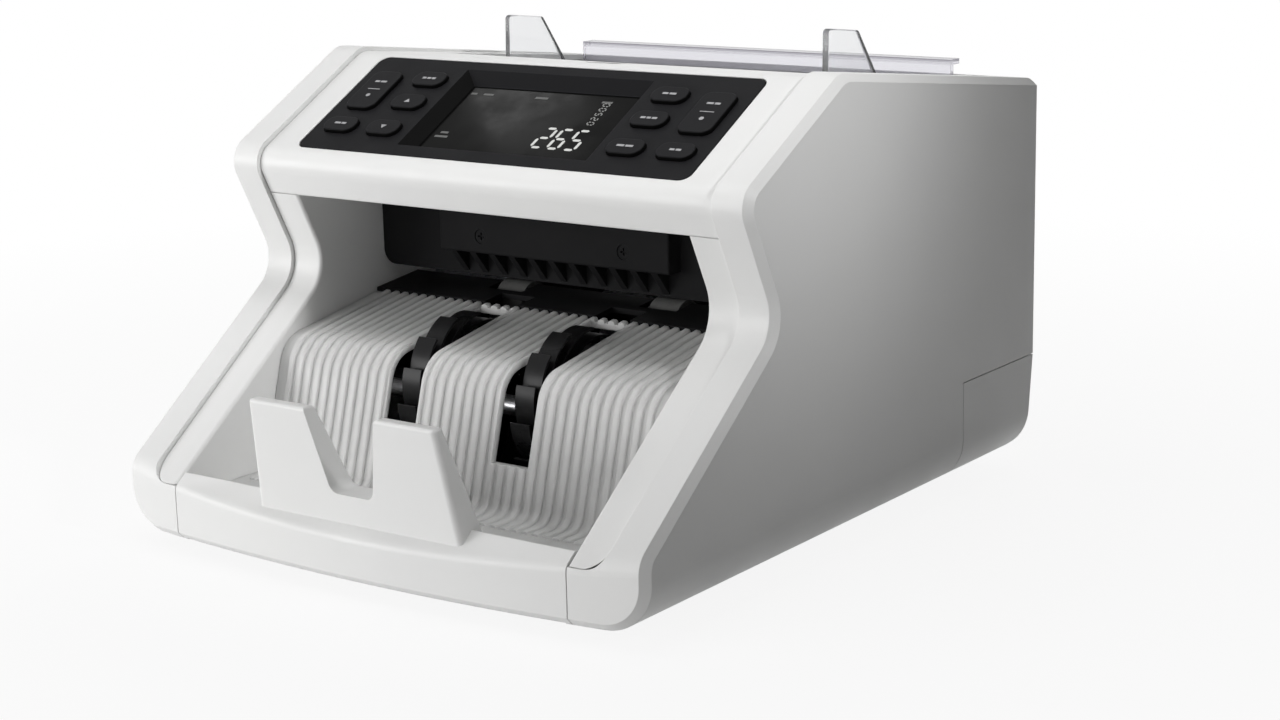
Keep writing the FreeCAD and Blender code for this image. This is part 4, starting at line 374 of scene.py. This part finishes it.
# Finish of each material slot
FINISHES = {
    "white_plastic": WHITE,
    "pale_grey_plastic": RAMP,
    "black_panel": PANEL,
    "grey_keys": KEY,
    "dark_glass": LENS,
    "display": SCREEN,
    "black_plastic": BLACK,
    "clear_plastic": CLEAR,
    "smoke_plastic": SMOKE,
    "black_rubber": RUBBER,
    "steel": STEEL,
    "bush_brass": BRASS,
    "board_green": BOARD,
    "supply_case": CASE,
}

# Pieces whose finish differs from that of their slot
OWN_FINISHES = {"cover_screws": BLACK, "transport_rollers": GREY_RUBBER, "stacker_wheels": GLOSSY}


def dress_nodes():
    """Each CAD piece gets the finish of its material slot, or its own."""
    for entry in frame["record"]["subparts"]:
        node = entry["node"]
        item = NODES[node]
        item.data.materials.clear()
        item.data.materials.append(OWN_FINISHES.get(node, FINISHES[entry["material_slot"]]))


# Flat marks on the slope, in metres
MARK_LIFT = 0.00004
MARK_THICKNESS = 0.00006
SAME_FACE = 0.00001


def face_place(node):
    """Middle of a piece's outermost face on the slope, with its half width and half height there."""
    points = [vertex.co for vertex in NODES[node].data.vertices]
    height = max(point.dot(OUTWARD) for point in points)
    face = [point for point in points if height - point.dot(OUTWARD) < SAME_FACE]
    across = [point.dot(ACROSS) for point in face]
    upward = [point.dot(UPWARD) for point in face]
    middle_x = (min(across) + max(across)) / 2
    middle_row = (min(upward) + max(upward)) / 2
    middle = ACROSS * middle_x + UPWARD * middle_row + OUTWARD * height
    return middle, (max(across) - min(across)) / 2, (max(upward) - min(upward)) / 2


def flat_piece(name, middle, outlines, material, body):
    """Thin plates on the slope, from closed outlines of (across, up) points in metres about a middle."""
    mesh = bmesh.new()
    for outline in outlines:
        low = [mesh.verts.new(middle + ACROSS * a + UPWARD * b + OUTWARD * MARK_LIFT) for a, b in outline]
        top = [mesh.verts.new(vert.co + OUTWARD * MARK_THICKNESS) for vert in low]
        count = len(outline)
        mesh.faces.new(low[::-1])
        mesh.faces.new(top)
        for i in range(count):
            mesh.faces.new((low[i], low[(i + 1) % count], top[(i + 1) % count], top[i]))
    bmesh.ops.recalc_face_normals(mesh, faces=mesh.faces)
    data = bpy.data.meshes.new(name)
    mesh.to_mesh(data)
    mesh.free()
    data.materials.append(material)
    item = bpy.data.objects.new(name, data)
    bpy.context.scene.collection.objects.link(item)
    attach(item, body)


def bar(x, y, width, height):
    return [(x - width / 2, y - height / 2), (x + width / 2, y - height / 2),
            (x + width / 2, y + height / 2), (x - width / 2, y + height / 2)]


# Key marks, in metres about the middle of the key
DASH_GAP = 0.0006
DASH_HEIGHT = 0.0011
TALL_DASH_Y = 0.0052
RULE_WIDTH = 0.0062
RULE_HEIGHT = 0.0004
DOT_Y = -0.0042
DOT_RADIUS = 0.0010
DOT_CORNERS = 20
ARROW_HALF_WIDTH = 0.0014
ARROW_BASE = ARROW_HALF_WIDTH * 0.7
ARROW_TIP = ARROW_HALF_WIDTH * 0.8


def dashes(widths, y=0.0, height=DASH_HEIGHT):
    """A centred row of short bars."""
    start = -(sum(widths) + DASH_GAP * (len(widths) - 1)) / 2
    row = []
    for width in widths:
        row.append(bar(start + width / 2, y, width, height))
        start += width + DASH_GAP
    return row


def dot_mark():
    steps = [2 * math.pi * i / DOT_CORNERS for i in range(DOT_CORNERS)]
    return [(DOT_RADIUS * math.cos(step), DOT_Y + DOT_RADIUS * math.sin(step)) for step in steps]


def tall_mark(widths):
    """Two dashes over a thin rule and a dot."""
    return dashes(widths, TALL_DASH_Y) + dashes((RULE_WIDTH,), height=RULE_HEIGHT) + [dot_mark()]


ARROW_UP = [(-ARROW_HALF_WIDTH, -ARROW_BASE), (ARROW_HALF_WIDTH, -ARROW_BASE), (0.0, ARROW_TIP)]
ARROW_DOWN = [(a, -b) for a, b in ARROW_UP[::-1]]

KEY_MARKS = {
    "key_left_tall": tall_mark((0.0024, 0.0030)),
    "key_left_top": dashes((0.0018, 0.0018, 0.0018)),
    "key_left_middle": [ARROW_UP],
    "key_left_low_inner": [ARROW_DOWN],
    "key_left_low_outer": dashes((0.0030, 0.0022)),
    "key_right_tall": tall_mark((0.0030, 0.0024)),
    "key_right_top": dashes((0.0026, 0.0030)),
    "key_right_middle": dashes((0.0022, 0.0018, 0.0022)),
    "key_right_low_inner": dashes((0.0034, 0.0034)),
    "key_right_low_outer": dashes((0.0022, 0.0022)),
}


def key_marks():
    for key, outlines in KEY_MARKS.items():
        middle = face_place(key)[0]
        flat_piece("mark_" + key, middle, outlines, INK, key)


# Seven-segment digits: which of the segments a to g are lit
SEGMENTS = {
    "0": "abcdef", "1": "bc", "2": "abged", "3": "abgcd", "4": "fgbc",
    "5": "afgcd", "6": "afgedc", "7": "abc", "8": "abcdefg", "9": "abfgcd",
}
DIGIT_SLANT = math.tan(math.radians(2))
SEGMENT_GAP = 0.4

# Numbers on the display, in metres
TOTAL = {"text": "265", "width": 0.0050, "height": 0.0120, "weight": 0.0013, "pitch": 0.0078}
COUNT = {"text": "02500", "width": 0.0017, "height": 0.0030, "weight": 0.0005, "pitch": 0.0030}
COUNT_REACH = 0.0069

# Places on the display, as shares of the window's half width and half height
TOTAL_PLACE = (0.735, -0.385)
COUNT_PLACE = (0.665, 0.36)
TOP_ROW = 0.70
LOW_ROW = -0.45
LOW_BARS_X = -0.81

# Bars of the display: in the top row a share of the half width, then each bar's width and height in metres
BAR_HEIGHT = 0.0012
TOP_BARS = (
    (-0.88, 0.0030, BAR_HEIGHT),
    (-0.71, 0.0050, BAR_HEIGHT),
    (-0.09, 0.0062, 0.0013),
    (0.65, 0.0050, BAR_HEIGHT),
)
LOW_BAR_WIDTHS = (0.0038, 0.0064)
LOW_BAR_PITCH = 0.0026


def segment(letter, width, height, weight):
    """Outline of one segment of a digit about the digit's middle, pointed at both ends."""
    half = weight / 2
    level = {"a": height / 2, "g": 0.0, "d": -height / 2}
    gap = weight * SEGMENT_GAP
    if letter in level:
        y = level[letter]
        reach = width / 2 - gap
        return [(-reach, y), (-reach + half, y - half), (reach - half, y - half),
                (reach, y), (reach - half, y + half), (-reach + half, y + half)]
    x = -width / 2 if letter in "fe" else width / 2
    y = height / 4 if letter in "fb" else -height / 4
    reach = height / 4 - gap
    return [(x, y - reach), (x + half, y - reach + half), (x + half, y + reach - half),
            (x, y + reach), (x - half, y + reach - half), (x - half, y - reach + half)]


def digits(x, y, text, width, height, weight, pitch):
    """Outlines of a number whose right end is at x, on a middle line y."""
    outlines = []
    for i, character in enumerate(reversed(text)):
        shift = x - width / 2 - i * pitch
        for letter in SEGMENTS[character]:
            shape = segment(letter, width, height, weight)
            outlines.append([(a + b * DIGIT_SLANT + shift, b + y) for a, b in shape])
    return outlines


def turned_up(outlines, x, y):
    """Outlines drawn about the origin, turned to read upward and moved."""
    return [[(x - b, y + a) for a, b in outline] for outline in outlines]


def display():
    middle, half_width, half_height = face_place("display_lens")

    def window(place):
        return half_width * place[0], half_height * place[1]

    total = digits(*window(TOTAL_PLACE), **TOTAL)
    count = turned_up(digits(COUNT_REACH, 0.0, **COUNT), *window(COUNT_PLACE))
    hints = [bar(*window((share, TOP_ROW)), width, height) for share, width, height in TOP_BARS]
    low_x, low_y = window((LOW_BARS_X, LOW_ROW))
    for line, width in enumerate(LOW_BAR_WIDTHS):
        hints.append(bar(low_x, low_y - line * LOW_BAR_PITCH, width, BAR_HEIGHT))
    flat_piece("display_total", middle, total, GLOW, "machine")
    flat_piece("display_count", middle, count, SOFT, "machine")
    flat_piece("display_hints", middle, hints, DIM, "machine")


# Stage: a pale floor that turns white away from the object, and soft light; metres and watts
FLOOR_COLOUR = (0.86, 0.86, 0.86)
FLOOR_HALF_SIZE = 8.0
NEAR_FLOOR = 0.22
FAR_FLOOR = 0.75
NEAR_WHITENESS = 0.90
WORLD_LIGHT = 0.02
FRONT_MIDDLE = (0.0, -0.03, 0.10)


def seen_directly(tree):
    """One for camera, mirror and see-through rays, which show the white background."""
    rays = tree.nodes.new("ShaderNodeLightPath").outputs
    seen = rays["Is Camera Ray"]
    for name in ("Is Glossy Ray", "Is Transmission Ray"):
        seen = add(tree, "Math", {0: seen, 1: rays[name]}, "Value", operation="MAXIMUM")
    return seen


def floor():
    size = FLOOR_HALF_SIZE
    corners = [(-size, -size, 0.0), (size, -size, 0.0), (size, size, 0.0), (-size, size, 0.0)]
    data = bpy.data.meshes.new("floor")
    data.from_pydata(corners, [], [(0, 1, 2, 3)])
    material, tree, shader = new_material("floor")
    fill(tree, shader, {"Base Color": FLOOR_COLOUR, "Roughness": 0.9, "Specular IOR Level": 0.0})
    reach = add(tree, "VectorMath", {0: own_place(tree)}, "Value", operation="LENGTH")
    whiteness = remap(tree, reach, NEAR_FLOOR, FAR_FLOOR, NEAR_WHITENESS, 1.0)
    share = add(tree, "Math", {0: seen_directly(tree), 1: whiteness}, "Value", operation="MULTIPLY")
    white = add(tree, "Emission", {}, "Emission")
    blend = add(tree, "MixShader", {"Fac": share, 1: shader.outputs["BSDF"], 2: white}, "Shader")
    fill(tree, tree.nodes["Material Output"], {"Surface": blend})
    data.materials.append(material)
    item = bpy.data.objects.new("floor", data)
    bpy.context.scene.collection.objects.link(item)


def add_lamp(data, place, target, turn=0.0, in_gloss=True):
    """Put a lamp in place, aimed at a target and turned about its own axis by degrees."""
    item = bpy.data.objects.new(data.name, data)
    aim = (Vector(target) - Vector(place)).to_track_quat("-Z", "Y").to_matrix()
    item.matrix_world = (aim @ Matrix.Rotation(math.radians(turn), 3, "Z")).to_4x4()
    item.location = place
    item.visible_camera = False
    item.visible_transmission = False
    item.visible_glossy = in_gloss
    bpy.context.scene.collection.objects.link(item)


def area_lamp(name, place, target, size, power, turn=0.0, in_gloss=True):
    data = bpy.data.lights.new(name, "AREA")
    data.shape = "RECTANGLE"
    data.size, data.size_y = size
    data.energy = power
    add_lamp(data, place, target, turn, in_gloss)


def spot_lamp(name, place, target, cone, radius, power):
    """Spot that fades from its middle to the edge of its cone."""
    data = bpy.data.lights.new(name, "SPOT")
    data.spot_size = math.radians(cone)
    data.spot_blend = 1.0
    data.shadow_soft_size = radius
    data.energy = power
    add_lamp(data, place, target)


def world_light():
    """White where the world is seen, and a faint even light on the object."""
    world = bpy.data.worlds.new("studio")
    world.use_nodes = True
    tree = world.node_tree
    strength = remap(tree, seen_directly(tree), 0.0, 1.0, WORLD_LIGHT, 1.0)
    fill(tree, tree.nodes["Background"], {"Color": (1.0, 1.0, 1.0), "Strength": strength})
    bpy.context.scene.world = world


def lights():
    area_lamp("left", (-0.80, -0.90, 0.25), FRONT_MIDDLE, size=(0.6, 0.4), power=6.4)
    area_lamp("front", (-0.35, -1.30, 0.25), FRONT_MIDDLE, size=(0.8, 0.5), power=3.3)
    area_lamp("front_right", (0.25, -1.30, 0.25), FRONT_MIDDLE, size=(0.8, 0.5), power=1.8)
    area_lamp("over", (0.0, -0.10, 0.65), (0.0, -0.03, 0.17), size=(0.4, 0.4), power=1.3)
    area_lamp("back", (-0.55, 1.20, 0.90), (0.0, 0.10, 0.10), size=(0.8, 0.8), power=5.0, in_gloss=False)
    area_lamp("rear", (-0.25, 1.10, 0.18), (0.0, 0.12, 0.10), size=(0.6, 0.25), power=5.0, in_gloss=False)
    # A small strip that shows as a soft band in the display's window
    area_lamp("sheen", (-1.254, 0.621, 1.603), (-0.014, -0.017, 0.169),
              size=(0.12, 0.063), power=0.14, turn=155.0)
    # A spot that fades over the right side, from its top front corner to its lower rear
    spot_lamp("side_high", (0.75, -0.10, 0.60), (0.126, -0.04, 0.23), cone=24.0, radius=0.06, power=14.5)


camera()
dress_nodes()
key_marks()
display()
floor()
world_light()
lights()
bpy.context.scene.view_settings.view_transform = "Standard"
